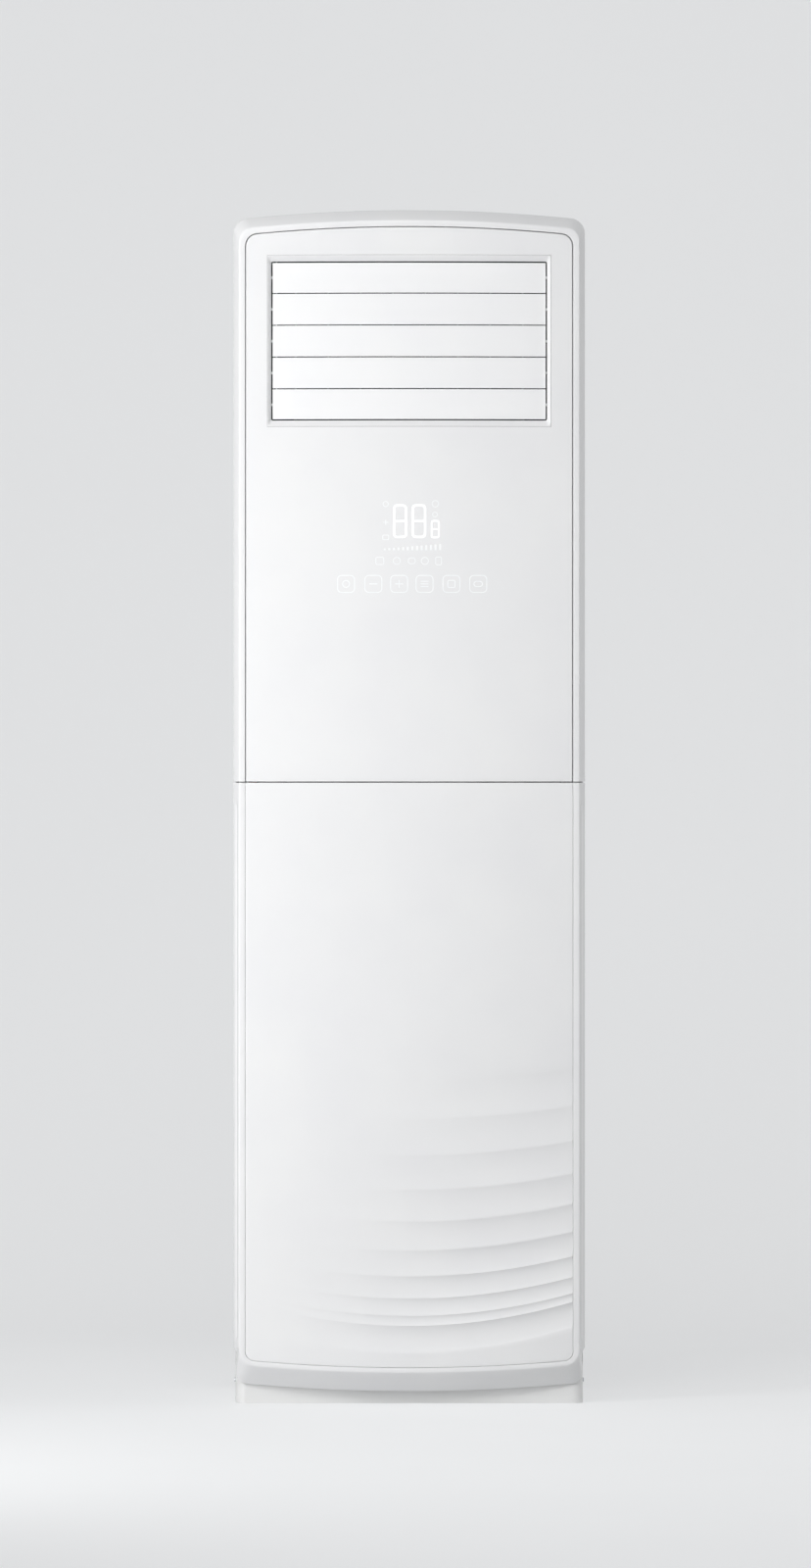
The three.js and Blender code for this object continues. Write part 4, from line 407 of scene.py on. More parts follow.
# %% Rim
def rim_path(half, apex, foot, top_corner, bottom_corner, upper, step=0.0):
    """One half of a rim outline as points x, z, from one side of the seam to the other."""
    if upper:
        end = end_path(half, apex, TOP_ARCH, top_corner)
        start = SEAM + SEAM_HALF
        side = [start + (end[0][1] - start) * i / 30 for i in range(30)]
        return [(half, z) for z in side] + end + [(-half, z) for z in reversed(side)]
    end = [(-x, -z) for x, z in end_path(half - step, -foot, BOTTOM_ARCH, bottom_corner)]
    start = SEAM - SEAM_HALF
    heights = [start, GROOVE_HIGH + 0.008, GROOVE_HIGH, GROOVE_HIGH - 0.003]
    heights += [GROOVE_HIGH - 0.003 - (GROOVE_HIGH - GROOVE_LOW - 0.006) * i / 30 for i in range(1, 30)]
    heights += [GROOVE_LOW + 0.003, GROOVE_LOW, GROOVE_LOW - 0.004, KNEE]
    drop = KNEE_DROP if step else (KNEE - end[0][1]) / 2
    knee = [(half - step * k * k * (3 - 2 * k), KNEE - drop * k) for k in (0.25, 0.5, 0.75, 1.0)]
    left = [(-half, z) for z in heights] + [(-x, z) for x, z in knee]
    return left + end + [(-x, z) for x, z in reversed(left)]


def rim_outline(inset, upper):
    return rim_path(
        HALF_WIDTH - inset,
        TOP - inset,
        RIM_BOTTOM + inset,
        0.024 - min(inset, 0.012),
        0.016 - min(inset, 0.008),
        upper,
        KNEE_STEP,
    )


def lip_outline(inset, upper):
    return rim_path(
        HALF_WIDTH - BEVEL_SIDE - inset,
        TOP - BEVEL_TOP - inset,
        RIM_BOTTOM + BEVEL_BOTTOM + inset,
        0.020 - inset * 0.4,
        0.024 - inset * 0.4,
        upper,
    )


def cover_outline(outset, upper):
    return rim_path(
        HALF_WIDTH - BEVEL_SIDE - LIP_SIDE - COVER_GAP + outset,
        TOP - BEVEL_TOP - LIP_TOP - COVER_GAP + outset,
        RIM_BOTTOM + BEVEL_BOTTOM + LIP_BOTTOM + COVER_GAP - outset,
        0.018 + max(outset, 0),
        0.013 + max(outset, 0),
        upper,
    )


def between(a, b, share):
    return [(p[0] + (q[0] - p[0]) * share, p[1] + (q[1] - p[1]) * share) for p, q in zip(a, b)]


def on_bow(path, back):
    return [(x, bow_y(x, back), z) for x, z in path]


def at_back(path, forward=0.0):
    return [(x, (PLINTH_BACK if z < KNEE - 1e-6 else RIM_BACK) - forward, z) for x, z in path]


def bevel_layer(share, upper):
    """A path on the bevel's flat: 0 at the lip's edge, 1 at the outer wall."""
    path = between(lip_outline(0, upper), rim_outline(0, upper), share)
    return on_bow(path, BEVEL_DEPTH * share)


def bevel_back(path, thick):
    """The inside of the bevel, held off the rear edge near the foot."""
    backs = at_back(path, thick + 0.0003)
    return [(x, min(bow_y(x, BEVEL_DEPTH + 0.001), y), z) for x, y, z in backs]


def groove_layer(across):
    """The bevel's layer at a share of the way across the groove, pressed in where the groove runs."""
    x_abs = GROOVE_INNER + (GROOVE_OUTER - GROOVE_INNER) * across
    share = (x_abs - (HALF_WIDTH - BEVEL_SIDE)) / BEVEL_SIDE
    path = between(lip_outline(0, False), rim_outline(0, False), share)
    fall = bow_y(HALF_WIDTH, BEVEL_DEPTH) - bow_y(HALF_WIDTH - BEVEL_SIDE)
    length = math.hypot(fall, BEVEL_SIDE)
    layer = []
    for x, z in path:
        runs = abs(abs(x) - x_abs) < 1e-5 and GROOVE_LOW < z < GROOVE_HIGH
        deep = GROOVE_DEPTH * math.sin(math.pi * across) ** 2 if runs else 0.0
        y = bow_y(x, BEVEL_DEPTH * share)
        layer.append((x - math.copysign(deep * fall / length, x), y + deep * BEVEL_SIDE / length, z))
    return layer


def rim(name, upper):
    r = 0.0006
    ledge, thick = 0.0123, 0.002
    gap = COVER_GAP
    loops = [
        on_bow(cover_outline(-0.006, upper), ledge),
        on_bow(cover_outline(gap, upper), ledge),
        on_bow(cover_outline(gap, upper), r),
        on_bow(cover_outline(gap + r * 0.3, upper), r * 0.3),
        on_bow(cover_outline(gap + r, upper), 0),
        on_bow(lip_outline(r * 1.6, upper), 0),
        on_bow(lip_outline(r * 0.5, upper), r * 0.25),
        bevel_layer(0.07, upper),
    ]
    if not upper:
        loops += [groove_layer(i / 8) for i in range(9)]
    loops += [
        bevel_layer(0.94, upper),
        on_bow(rim_outline(0.0001, upper), BEVEL_DEPTH + 0.0002),
        on_bow(rim_outline(0, upper), BEVEL_DEPTH + 0.0012),
        at_back(rim_outline(0, upper), 0.0004),
        at_back(rim_outline(0.0004, upper)),
        at_back(rim_outline(0.014, upper)),
        at_back(rim_outline(0.014, upper), thick),
        at_back(rim_outline(0.0028, upper), thick),
        bevel_back(rim_outline(0.0028, upper), thick),
        on_bow(lip_outline(thick, upper), 0.003),
        on_bow(cover_outline(gap + thick, upper), 0.003),
        on_bow(cover_outline(gap + thick, upper), ledge + thick),
        on_bow(cover_outline(-0.006, upper), ledge + thick),
    ]
    points, faces = skin_loops(loops, caps=True)
    return mesh_piece(name, points, faces, gloss_white, 28)


settle(rim("upper_rim", True), "cabinet", "gloss_cover", "upper_frame")
settle(rim("lower_rim", False), "cabinet", "gloss_cover", "lower_frame")

# %% [markdown]
# ## The two covers
# A cover is a shell: a grid across its face, a rounded edge, a wall turned back by 12 mm and the
# inside skin. Every ring of the edge is the boundary of the same grid made a little smaller, so
# all the rings match point for point. The grid's rows and columns follow the outline's arched
# ends and corners.

# %% Cover shells
COVER_HALF = HALF_WIDTH - BEVEL_SIDE - LIP_SIDE - COVER_GAP
COVER_TOP = TOP - BEVEL_TOP - LIP_TOP - COVER_GAP
COVER_BOTTOM = RIM_BOTTOM + BEVEL_BOTTOM + LIP_BOTTOM + COVER_GAP


def column_shares(corner, middle_steps=72):
    """Places across a cover from -1 to 1, close together in its corners."""
    edge = [x / COVER_HALF for x in corner_xs(COVER_HALF, corner, 9)]
    middle = [edge[0] * (1 - 2 * i / middle_steps) for i in range(1, middle_steps)]
    return sorted([-e for e in edge] + middle + edge)


def boundary(grid):
    """The outer ring of a grid, anticlockwise as seen from the front."""
    rows, columns = len(grid), len(grid[0])
    ring = [grid[0][c] for c in range(columns)]
    ring += [grid[r][columns - 1] for r in range(1, rows)]
    ring += [grid[rows - 1][c] for c in range(columns - 2, -1, -1)]
    ring += [grid[r][0] for r in range(rows - 2, 0, -1)]
    return ring


def grid_faces(rows, columns, start, flip=False, skip=None):
    faces = []
    for r in range(rows - 1):
        for c in range(columns - 1):
            if skip and skip(r, c):
                continue
            a = start + r * columns + c
            quad = (a, a + 1, a + columns + 1, a + columns)
            faces.append(quad[::-1] if flip else quad)
    return faces


def shell_faces(layout, edge, window=None):
    """Points and faces of a cover from layout(inset, back, relief), which gives the grid of a layer of it."""
    rings = [(edge * (1 - math.sin(t)), edge * (1 - math.cos(t))) for t in np.linspace(0, math.pi / 2, 5)]
    front = layout(edge, 0.0, True)
    rows, columns = len(front), len(front[0])
    points = [p for row in front for p in row]
    faces = grid_faces(rows, columns, 0, skip=window)
    layers = [layout(inset, back, True) for inset, back in rings[1:]]
    layers += [layout(0.0, 0.012, False), layout(0.003, 0.012, False)]
    last = boundary([[r * columns + c for c in range(columns)] for r in range(rows)])
    for layer in layers:
        ring = boundary(layer)
        start = len(points)
        points += ring
        now = list(range(start, start + len(ring)))
        count = len(ring)
        faces += [(last[k], now[k], now[(k + 1) % count], last[(k + 1) % count]) for k in range(count)]
        last = now
    inside = layout(0.003, 0.0055, False)
    start = len(points)
    points += [p for row in inside for p in row]
    index = [[start + r * columns + c for c in range(columns)] for r in range(rows)]
    ring = boundary(index)
    count = len(ring)
    faces += [(last[k], ring[k], ring[(k + 1) % count], last[(k + 1) % count]) for k in range(count)]
    faces += grid_faces(rows, columns, start, flip=True, skip=window)
    if window:
        uses = {}
        for face in faces:
            for a, b in zip(face, face[1:] + face[:1]):
                uses[frozenset((a, b))] = uses.get(frozenset((a, b)), 0) + 1
        rim_edges = [tuple(e) for e, n in uses.items() if n == 1 and max(e) < rows * columns]
        faces += [(a, b, b + start, a + start) for a, b in rim_edges]
    return points, faces


# %% [markdown]
# The lower cover carries ten shallow flutes. Below each crest the surface falls back quickly and
# then comes slowly out again to the next, so that a soft shade hangs under every crest. The
# crests are smiling arcs that crowd together towards the foot. The relief is strongest low down
# on the right and fades out to the upper left. The grid's rows follow the crests, which keeps
# every crest crisp.

# %% Fluted lower cover
FLUTES = 10
FLUTE_LOWEST, FLUTE_SPAN, FLUTE_CROWDING = 0.121, 0.3758, 1.46
RISE_FIRST, RISE_LAST = 0.018, 0.036
SLOPE_FIRST, SLOPE_LAST = 0.27, 0.64  # how steeply the surface falls back below a crest
FALL_SHARE = 0.38  # share of a flute's height in which it falls back
FIXED_REACH = 0.225


def shifted_x(share, inset):
    """Place across a layer that is smaller all round; only the outer part moves."""
    x = share * COVER_HALF
    if abs(x) <= FIXED_REACH:
        return x
    reach = (abs(x) - FIXED_REACH) * (COVER_HALF - inset - FIXED_REACH) / (COVER_HALF - FIXED_REACH)
    return math.copysign(FIXED_REACH + reach, x)


def crest(i, x):
    t = i / (FLUTES - 1)
    below = (FLUTE_LOWEST - COVER_BOTTOM) * 2 / 3
    middle = FLUTE_LOWEST + FLUTE_SPAN * (1 - t) ** FLUTE_CROWDING if i < FLUTES else FLUTE_LOWEST - below
    return middle + (RISE_FIRST + (RISE_LAST - RISE_FIRST) * t) * (x / COVER_HALF) ** 2


def flute_strength(i, x):
    """How strong a flute is at x: weak at the top, and nothing at the left."""
    down = i / (FLUTES - 1)
    first, full = (-0.4 - 0.65 * down) * COVER_HALF, (0.85 - 0.6 * down) * COVER_HALF
    t = min(max((x - first) / (full - first), 0.0), 1.0)
    return (SLOPE_FIRST + (SLOPE_LAST - SLOPE_FIRST) * down) * t * t * (3 - 2 * t)


def flute_dip(i, x, below):
    """Depth of flute i at a share of the way below its crest."""
    fall = FALL_SHARE * min(crest(i, x) - crest(i + 1, x), 0.036)
    quick = 1 - math.exp(-below / FALL_SHARE)
    return flute_strength(i, x) * fall * (quick - below**2 * (1 - math.exp(-1 / FALL_SHARE)))


BELOW = [1.0, 0.94, 0.86, 0.76, 0.65, 0.54, 0.44, 0.35, 0.27, 0.2, 0.15, 0.105, 0.07, 0.04, 0.018]
lower_shares = column_shares(0.013)


def lower_layout(inset, back, relief):
    rows = []
    edge = inset - (COVER_GAP - SNUG_GAP)
    xs = [shifted_x(s, edge) for s in lower_shares]
    foot = {
        x: -arch_height(x, COVER_HALF - edge, -(COVER_BOTTOM + edge), BOTTOM_ARCH, 0.013 - edge) for x in xs
    }
    top = SEAM - SEAM_HALF - inset
    for v in np.linspace(0, 1, 8)[:-1]:
        rows.append([(x, bow_y(x, back), foot[x] + (crest(FLUTES, x) - foot[x]) * v) for x in xs])
    for i in range(FLUTES - 1, -1, -1):
        for below in BELOW:
            row = []
            for x in xs:
                height = crest(i, x) - crest(i + 1, x)
                dip = flute_dip(i, x, below) if relief else 0.0
                row.append((x, bow_y(x, back + dip), crest(i, x) - height * below))
            rows.append(row)
    for v in np.linspace(0, 1, 24):
        rows.append([(x, bow_y(x, back), crest(0, x) + (top - crest(0, x)) * v) for x in xs])
    return rows


lower_cover = mesh_piece("lower_cover", *shell_faces(lower_layout, 0.0011), gloss_white, 40)
settle(lower_cover, "cabinet", "gloss_cover", "lower_panel")

# %% [markdown]
# The upper cover is plain, with a sharp window for the outlet. The grid has lines on all four
# sides of the window, so its faces are just left out there and the cut edge is walled in.

# %% Upper cover with its window
WINDOW_HALF, WINDOW_LOW, WINDOW_HIGH = 0.2176, 1.4977, 1.7608
upper_shares = sorted(column_shares(0.018) + [-WINDOW_HALF / COVER_HALF, WINDOW_HALF / COVER_HALF])
plain_rows, window_rows, crown_rows = 26, 14, 8


def upper_layout(inset, back, relief):
    half = COVER_HALF - inset
    xs = [shifted_x(s, inset) for s in upper_shares]
    head = {x: arch_height(x, half, COVER_TOP - inset, TOP_ARCH, 0.018 - inset) for x in xs}
    foot = SEAM + SEAM_HALF + inset
    heights = [foot + (WINDOW_LOW - foot) * i / plain_rows for i in range(plain_rows)]
    heights += [WINDOW_LOW + (WINDOW_HIGH - WINDOW_LOW) * i / window_rows for i in range(window_rows)]
    rows = [[(x, bow_y(x, back), z) for x in xs] for z in heights]
    for v in np.linspace(0, 1, crown_rows):
        rows.append([(x, bow_y(x, back), WINDOW_HIGH + (head[x] - WINDOW_HIGH) * v) for x in xs])
    return rows


def in_window(row, column):
    middle = (upper_shares[column] + upper_shares[column + 1]) / 2 * COVER_HALF
    return plain_rows <= row < plain_rows + window_rows and abs(middle) < WINDOW_HALF


upper_cover = mesh_piece("upper_cover", *shell_faces(upper_layout, 0.0011, in_window), gloss_white, 40)
settle(upper_cover, "cabinet", "gloss_cover", "upper_panel")
# %% [markdown]
# ## The outlet
# A bevelled frame sits in the window, its outer edge flush with the cover. Like the rim it is a
# section taken round an outline, here a rectangle with small round corners whose top and bottom
# follow the bow. Behind the bevel the walls run back as a duct that carries the vanes. There they
# are coloured charcoal as painted shade, so the lines round the blades read as dark.

# %% Outlet frame
OUTLET_HALF, OUTLET_LOW, OUTLET_HIGH = 0.2173, 1.498, 1.7605
OPENING_SIDE, OPENING_TALL = 0.0058, 0.0094
FRAME_BACK = -0.080
# the charcoal behind this depth is painted shade, so the lines round the blades read as dark
PAINTED_SHADE_FROM = 0.0083  # behind this depth the walls are charcoal


def outlet_loop(inset_x, inset_z, corner, back=None, y=None):
    """A closed path round the outlet with round corners, on the bow or at one depth."""
    half = OUTLET_HALF - inset_x
    low, high = OUTLET_LOW + inset_z, OUTLET_HIGH - inset_z
    run = half - corner
    across = [run - 2 * run * i / 40 for i in range(41)]
    upright = [low + corner + (high - low - 2 * corner) * i / 10 for i in range(11)]
    turn = [math.pi / 2 * i / 5 for i in range(1, 5)]
    path = [(x, high) for x in across]
    path += [(-run - corner * math.sin(t), high - corner + corner * math.cos(t)) for t in turn]
    path += [(-half, z) for z in reversed(upright)]
    path += [(-run - corner * math.cos(t), low + corner - corner * math.sin(t)) for t in turn]
    path += [(-x, low) for x in across]
    path += [(run + corner * math.sin(t), low + corner - corner * math.cos(t)) for t in turn]
    path += [(half, z) for z in upright]
    path += [(run + corner * math.cos(t), high - corner + corner * math.sin(t)) for t in turn]
    path.append(path[0])
    return [(x, bow_y(x, back) if y is None else y, z) for x, z in path]


def outlet_frame():
    side, tall = OPENING_SIDE, OPENING_TALL
    sharp, outer, inner = 0.0004, 0.005, 0.003
    loops = [
        outlet_loop(0, 0, sharp, back=0.0012),
        outlet_loop(0.0001, 0.0001, sharp, back=0.0002),
        outlet_loop(0.0004, 0.0005, outer, back=0.0001),
        outlet_loop(0.0008, 0.0011, outer, back=0.0005),
        outlet_loop(side * 0.94, tall * 0.95, inner, back=0.0064),
        outlet_loop(side, tall, inner, back=0.0072),
        outlet_loop(side, tall, inner, back=0.0078),
        outlet_loop(side * 0.96, tall * 0.97, inner, back=0.0081),
        outlet_loop(0.0026, 0.0026, sharp, back=0.0081),
        outlet_loop(0.0026, 0.0026, sharp, y=FRAME_BACK),
        outlet_loop(0, 0, sharp, y=FRAME_BACK),
    ]
    made = mesh_piece("outlet_frame", *skin_loops(loops), gloss_white, 28)
    made.data.materials.append(charcoal_plastic_and_painted_shade)
    for face in made.data.polygons:
        x, y, z = face.center
        # faces behind that depth take the charcoal, painted shade in the duct
        face.material_index = int(y > bow_y(x, PAINTED_SHADE_FROM))
    return made


settle(outlet_frame(), "cabinet", "gloss_cover", "louvre_frame")

# %% [markdown]
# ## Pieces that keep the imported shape
# Sheet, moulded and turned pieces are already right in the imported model, but their edges are
# knife sharp and no real edge is. The mesh is copied, merged, cleared of the cuts across its flat
# faces, and given small rounded edges; weighted normals keep the flats flat.

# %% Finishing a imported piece
BODY_OF = {n: b for b, nodes in frame["record"]["behaviour"]["bodies"].items() for n in nodes}
SLOT_OF = {s["node"]: s["material_slot"] for s in frame["record"]["subparts"]}


def plain_mesh(worked):
    """The object's mesh with its modifiers carried out; the modifiers are then removed."""
    graph = bpy.context.evaluated_depsgraph_get()
    made = bpy.data.meshes.new_from_object(worked.evaluated_get(graph))
    worked.modifiers.clear()
    worked.data = made
    return worked


def finished(node, material, edge_mm=0.5, edge_angle=30, segments=2, reshape=None):
    """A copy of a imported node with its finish; reshape may move single points first."""
    source = frame["nodes"][node]
    mesh = source.data.copy()
    made = bpy.data.objects.new(node + "_finished", mesh)
    bpy.context.scene.collection.objects.link(made)
    work = bmesh.new()
    work.from_mesh(mesh)
    bmesh.ops.remove_doubles(work, verts=work.verts, dist=1e-5)
    bmesh.ops.dissolve_limit(work, angle_limit=math.radians(0.2), verts=work.verts, edges=work.edges)
    for corner in work.verts if reshape else []:
        corner.co = reshape(*corner.co)
    work.to_mesh(mesh)
    work.free()
    mesh.materials.clear()
    mesh.materials.append(material)
    mesh.shade_smooth()
    if edge_mm:
        edge = made.modifiers.new("edges", "BEVEL")
        edge.width = edge_mm / 1000
        edge.segments = segments
        edge.limit_method = "ANGLE"
        edge.angle_limit = math.radians(edge_angle)
        flats = made.modifiers.new("flats", "WEIGHTED_NORMAL")
        flats.keep_sharp = True
        plain_mesh(made)
    else:
        mesh.set_sharp_from_angle(angle=math.radians(edge_angle))
    return settle(made, BODY_OF[node], SLOT_OF[node], node)


# %% [markdown]
# The blades leave a dark line of about two millimetres all round them and a finer one, 1.6 mm,
# between them. Each blade is trimmed to that by moving the points of its outer edges.

# %% Louvre blades
PACKED_END, PACKED_GAP = 0.2109, 0.0012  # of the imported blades
BLADE_END, EDGE_LINE, LINE_TRIM = 0.2094, 0.0021, 0.0002
NEAR = 0.0001
OPENING_LOW, OPENING_HIGH = OUTLET_LOW + OPENING_TALL, OUTLET_HIGH - OPENING_TALL
BLADES = 5
pitch = (OPENING_HIGH - OPENING_LOW) / BLADES


def trimmed(number):
    """Moves the edge points of one blade; blade 1 is the top one."""
    high = OPENING_HIGH - pitch * (number - 1) - PACKED_GAP / 2
    low = high - pitch + PACKED_GAP
    new_high = OPENING_HIGH - EDGE_LINE if number == 1 else high - LINE_TRIM
    new_low = OPENING_LOW + EDGE_LINE if number == BLADES else low + LINE_TRIM

    def move(x, y, z):
        if abs(abs(x) - PACKED_END) < NEAR:
            x = math.copysign(BLADE_END, x)
        if abs(z - high) < NEAR:
            z = new_high
        if abs(z - low) < NEAR:
            z = new_low
        return (x, y, z)

    return move


for number in range(1, BLADES + 1):
    finished(f"louvre_blade_{number}", blade_white, 0.4, reshape=trimmed(number))
# %% [markdown]
# ## Display and keys
# The display shines through the cover and the keys are printed on it, so both are flat marks on
# the bow. A pen that follows the bow draws them: each stroke is a ribbon a few hundredths of a
# millimetre proud, with its edges turned down into the cover. The marks are plain digits and
# simple symbols.

# %% Pen
PRINT_PROUD, PRINT_ROOT = 0.00004, 0.0003


def stroke(path, width, closed=False):
    """Points and faces of a ribbon along a path of x, z in millimetres."""
    path = [Vector((x / 1000, z / 1000)) for x, z in path]
    fine = []
    for a, b in zip(path, path[1:] + (path[:1] if closed else [])):
        steps = max(1, math.ceil((b - a).length / 0.004))
        fine += [a.lerp(b, k / steps) for k in range(steps)]
    if not closed:
        fine.append(path[-1])
    count = len(fine)
    points, faces = [], []
    for k, here in enumerate(fine):
        before = fine[k - 1] if k or closed else here
        after = fine[(k + 1) % count] if k < count - 1 or closed else here
        ahead = (after - before).normalized()
        across = Vector((-ahead.y, ahead.x)) * width / 2000
        for side, back in ((1, PRINT_ROOT), (1, -PRINT_PROUD), (-1, -PRINT_PROUD), (-1, PRINT_ROOT)):
            x, z = here + across * side
            points.append((x, bow_y(x, back), z))
    for k in range(count if closed else count - 1):
        a, b = 4 * k, 4 * ((k + 1) % count)
        faces += [(a + j, a + (j + 1) % 4, b + (j + 1) % 4, b + j) for j in range(4)]
    if not closed:
        faces += [(3, 2, 1, 0), tuple(4 * count - 4 + j for j in range(4))]
    return points, faces


def round_box(x, z, wide, tall, corner, turns=4):
    """A rectangle with round corners, centred at x, z."""
    path = []
    for quarter, (sx, sz) in enumerate(((1, 1), (-1, 1), (-1, -1), (1, -1))):
        for k in range(turns + 1):
            t = math.pi / 2 * (quarter + k / turns)
            across = x + sx * (wide / 2 - corner) + corner * math.cos(t)
            path.append((across, z + sz * (tall / 2 - corner) + corner * math.sin(t)))
    return path


def printed(name, strokes, material):
    points, faces = [], []
    for path, width, closed in strokes:
        new_points, new_faces = stroke(path, width, closed)
        faces += [tuple(i + len(points) for i in face) for face in new_faces]
        points += new_points
    return settle(mesh_piece(name, points, faces, material, 30), "cabinet", "gloss_cover")


print("print stands", PRINT_PROUD * 1e6, "micrometres proud")

# %% [markdown]
# ** Lit segments** are clear windows with white light behind them, a little uneven from lamp to
# lamp. **Key print** is white ink under lacquer, thinner and duller, with fine pinholes. It is
# given a faint glow as well, which is painted light, since ink gives none.

# %% Finishes of the marks
def glowing_mark(name, light, shade, glow):
    material, tree, shader, place = blank_finish(name)
    unevenness = add(tree, "ShaderNodeTexNoise", {"Vector": place, "Scale": MM / 9, "Detail": 1.0}).outputs["Fac"]
    colour = ramp(tree, unevenness, [(0.35, shade), (0.65, light)])
    surfaced(tree, shader, colour, unevenness, 0.2, 0.3)
    tree.links.new(colour, shader.inputs["Emission Color"])
    shader.inputs["Emission Strength"].default_value = glow
    return material


lit_segment = glowing_mark("lit_acrylic_window", "#FFFFFF", "#F7F9FA", 0.32)
# the faint glow of the key print is painted light
key_print = glowing_mark("screen_print_with_painted_glow", "#FBFCFC", "#F4F6F7", 0.12)
print("finish", lit_segment.name, key_print.name)

# %% Digits
def eight(x, z, wide, tall, pen):
    """A rounded figure eight: its ring and the bar across the middle."""
    ring = round_box(x, z, wide - pen, tall - pen, min(wide, tall) * 0.22)
    return [(ring, pen, True), ([(x - wide / 2 + pen, z), (x + wide / 2 - pen, z)], pen * 0.9, False)]


digits = eight(-13.95, 1352.8, 21.5, 51.5, 3.2) + eight(14.9, 1352.8, 22.2, 51.5, 3.2)
digits += eight(39.95, 1340.6, 13.3, 27.6, 2.2)
printed("display_digits", digits, lit_segment)

# %% Small symbols round the digits
def ring_mark(x, z, size, pen=1.0):
    return (round_box(x, z, size - pen, size - pen, (size - pen) / 2), pen, True)


symbols = [ring_mark(-36, 1379, 9), ([(-40, 1351), (-32, 1351)], 1.1, False)]
symbols += [([(-36, 1347), (-36, 1355)], 1.1, False)]
symbols += [(round_box(-36, 1328, 9, 7, 1.5), 1.0, True), ring_mark(39.5, 1363, 8.5), ring_mark(40, 1379.5, 11)]
bar_xs = np.linspace(-37.5, 47.5, 13)
symbols += [([(x, 1308.5), (x, 1311 + 0.55 * k)], 3.0, False) for k, x in enumerate(bar_xs)]
symbols += [(round_box(-45, 1292, 12, 11, 2), 1.0, True), ring_mark(-19, 1292, 12)]
symbols += [(round_box(4, 1292, 11, 9, 4), 1.0, True)]
symbols += [ring_mark(24, 1292, 12), (round_box(45, 1292, 9, 12, 2), 1.0, True)]
printed("display_symbols", symbols, key_print)

# %% [markdown]
# Below the display are six touch keys: outlined squares with round corners, each with a plain
# symbol inside.

# %% Touch keys
KEY_XS, KEY_Z, KEY_SIZE = (-96.7, -54.9, -15.4, 23.6, 64.7, 105.8), 1256.8, 26.0
keys = [(round_box(x, KEY_Z, KEY_SIZE, KEY_SIZE, 6), 1.2, True) for x in KEY_XS]
a, b, c, d, e, f = KEY_XS
keys += [ring_mark(a, KEY_Z, 12, 1.3), ([(b - 6, KEY_Z), (b + 6, KEY_Z)], 1.5, False)]
keys += [([(c - 6, KEY_Z), (c + 6, KEY_Z)], 1.5, False), ([(c, KEY_Z - 6), (c, KEY_Z + 6)], 1.5, False)]
keys += [([(d - 6, KEY_Z + k), (d + 6, KEY_Z + k)], 1.3, False) for k in (-4, 0, 4)]
keys += [(round_box(e, KEY_Z, 11, 11, 2), 1.3, True), (round_box(f, KEY_Z, 13, 8, 3.9), 1.3, True)]
printed("touch_keys", keys, key_print)
# %% [markdown]
# ## Cabinet, intakes and the works
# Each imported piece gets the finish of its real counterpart. Sheet metal has edges a fraction of
# a millimetre round, mouldings a little more.

# %% Cabinet walls
for node in ("top_cover", "right_side_panel", "left_side_panel", "rear_panel"):
    finished(node, coated_white, 0.4)
finished("base_pan", coated_white, 1.2)
for node in ("wall_bracket", "partition_shelf"):
    finished(node, zinc, 0.4)

# %% Side intakes
for side in ("right", "left"):
    finished(f"{side}_intake_grille", satin_white, 0.5)
    finished(f"{side}_filter", charcoal_plastic_and_painted_shade, 0.3)

# %% Outlet mechanism
for number in range(1, 9):
    finished(f"vane_{number}", grey_plastic, 0.3)
for node in ("louvre_link", "vane_link", "vane_rail_lower", "vane_rail_upper"):
    finished(node, grey_plastic, 0.2)
for node in ("louvre_motor", "vane_motor"):
    finished(node, zinc, 0.3)
# the charcoal foam of the duct is painted shade behind the blades
finished("discharge_duct", foam, 1.0)

# %% Coil and drain
finished("evaporator_right_plate", zinc, 0.0)
finished("evaporator_left_plate", zinc, 0.3)
finished("gas_pipe", copper, 0.0, 50)
finished("liquid_pipe", copper, 0.0, 50)
finished("gas_flare_nut", brass, 0.3)
finished("liquid_flare_nut", brass, 0.3)
finished("drain_pan", charcoal_plastic_and_painted_shade, 0.5)

# %% Blower
finished("blower_housing", charcoal_plastic_and_painted_shade, 0.4)
finished("inlet_ring", charcoal_plastic_and_painted_shade, 0.4)
finished("blower_wheel", charcoal_plastic_and_painted_shade, 0.0)
for node in ("wheel_nut", "motor_shaft", "fan_motor", "motor_bracket"):
    finished(node, zinc, 0.3)

# %% Electrics
for node in ("control_box", "control_box_cover"):
    finished(node, zinc, 0.3)
for node in ("control_board", "display_board"):
    finished(node, board_green, 0.0)
finished("terminal_block", charcoal_plastic_and_painted_shade, 0.3)
finished("capacitor", grey_plastic, 0.4)
# %% [markdown]
# ## Screws and fins
# Screw heads repeat round the rear and side walls, and the coil is a pack of thin rippled fins.
# Modelling each by hand would be slow to change, so Geometry Nodes place one shape on many
# points. Every size is a named input, and the tree realises its instances at the end, so the
# result is a plain mesh.

# %% Running a tree
def grown(name, start, tree, values):
    """An object whose mesh is what the tree makes of the start mesh with these inputs."""
    made = bpy.data.objects.new(name, start)
    bpy.context.scene.collection.objects.link(made)
    rule = made.modifiers.new("rule", "NODES")
    rule.node_group = tree
    for socket in tree.interface.items_tree:
        if socket.in_out == "INPUT" and socket.name in values:
            rule[socket.identifier] = values[socket.name]
    plain_mesh(made)
    made.data.name = name
    return made


def new_tree(name, **inputs):
    """A geometry tree with named number inputs, its group input and its group output."""
    tree = bpy.data.node_groups.new(name, "GeometryNodeTree")
    tree.interface.new_socket("Geometry", in_out="INPUT", socket_type="NodeSocketGeometry")
    for label, kind in inputs.items():
        tree.interface.new_socket(label.replace("_", " "), in_out="INPUT", socket_type=kind)
    tree.interface.new_socket("Geometry", in_out="OUTPUT", socket_type="NodeSocketGeometry")
    return tree, add(tree, "NodeGroupInput").outputs


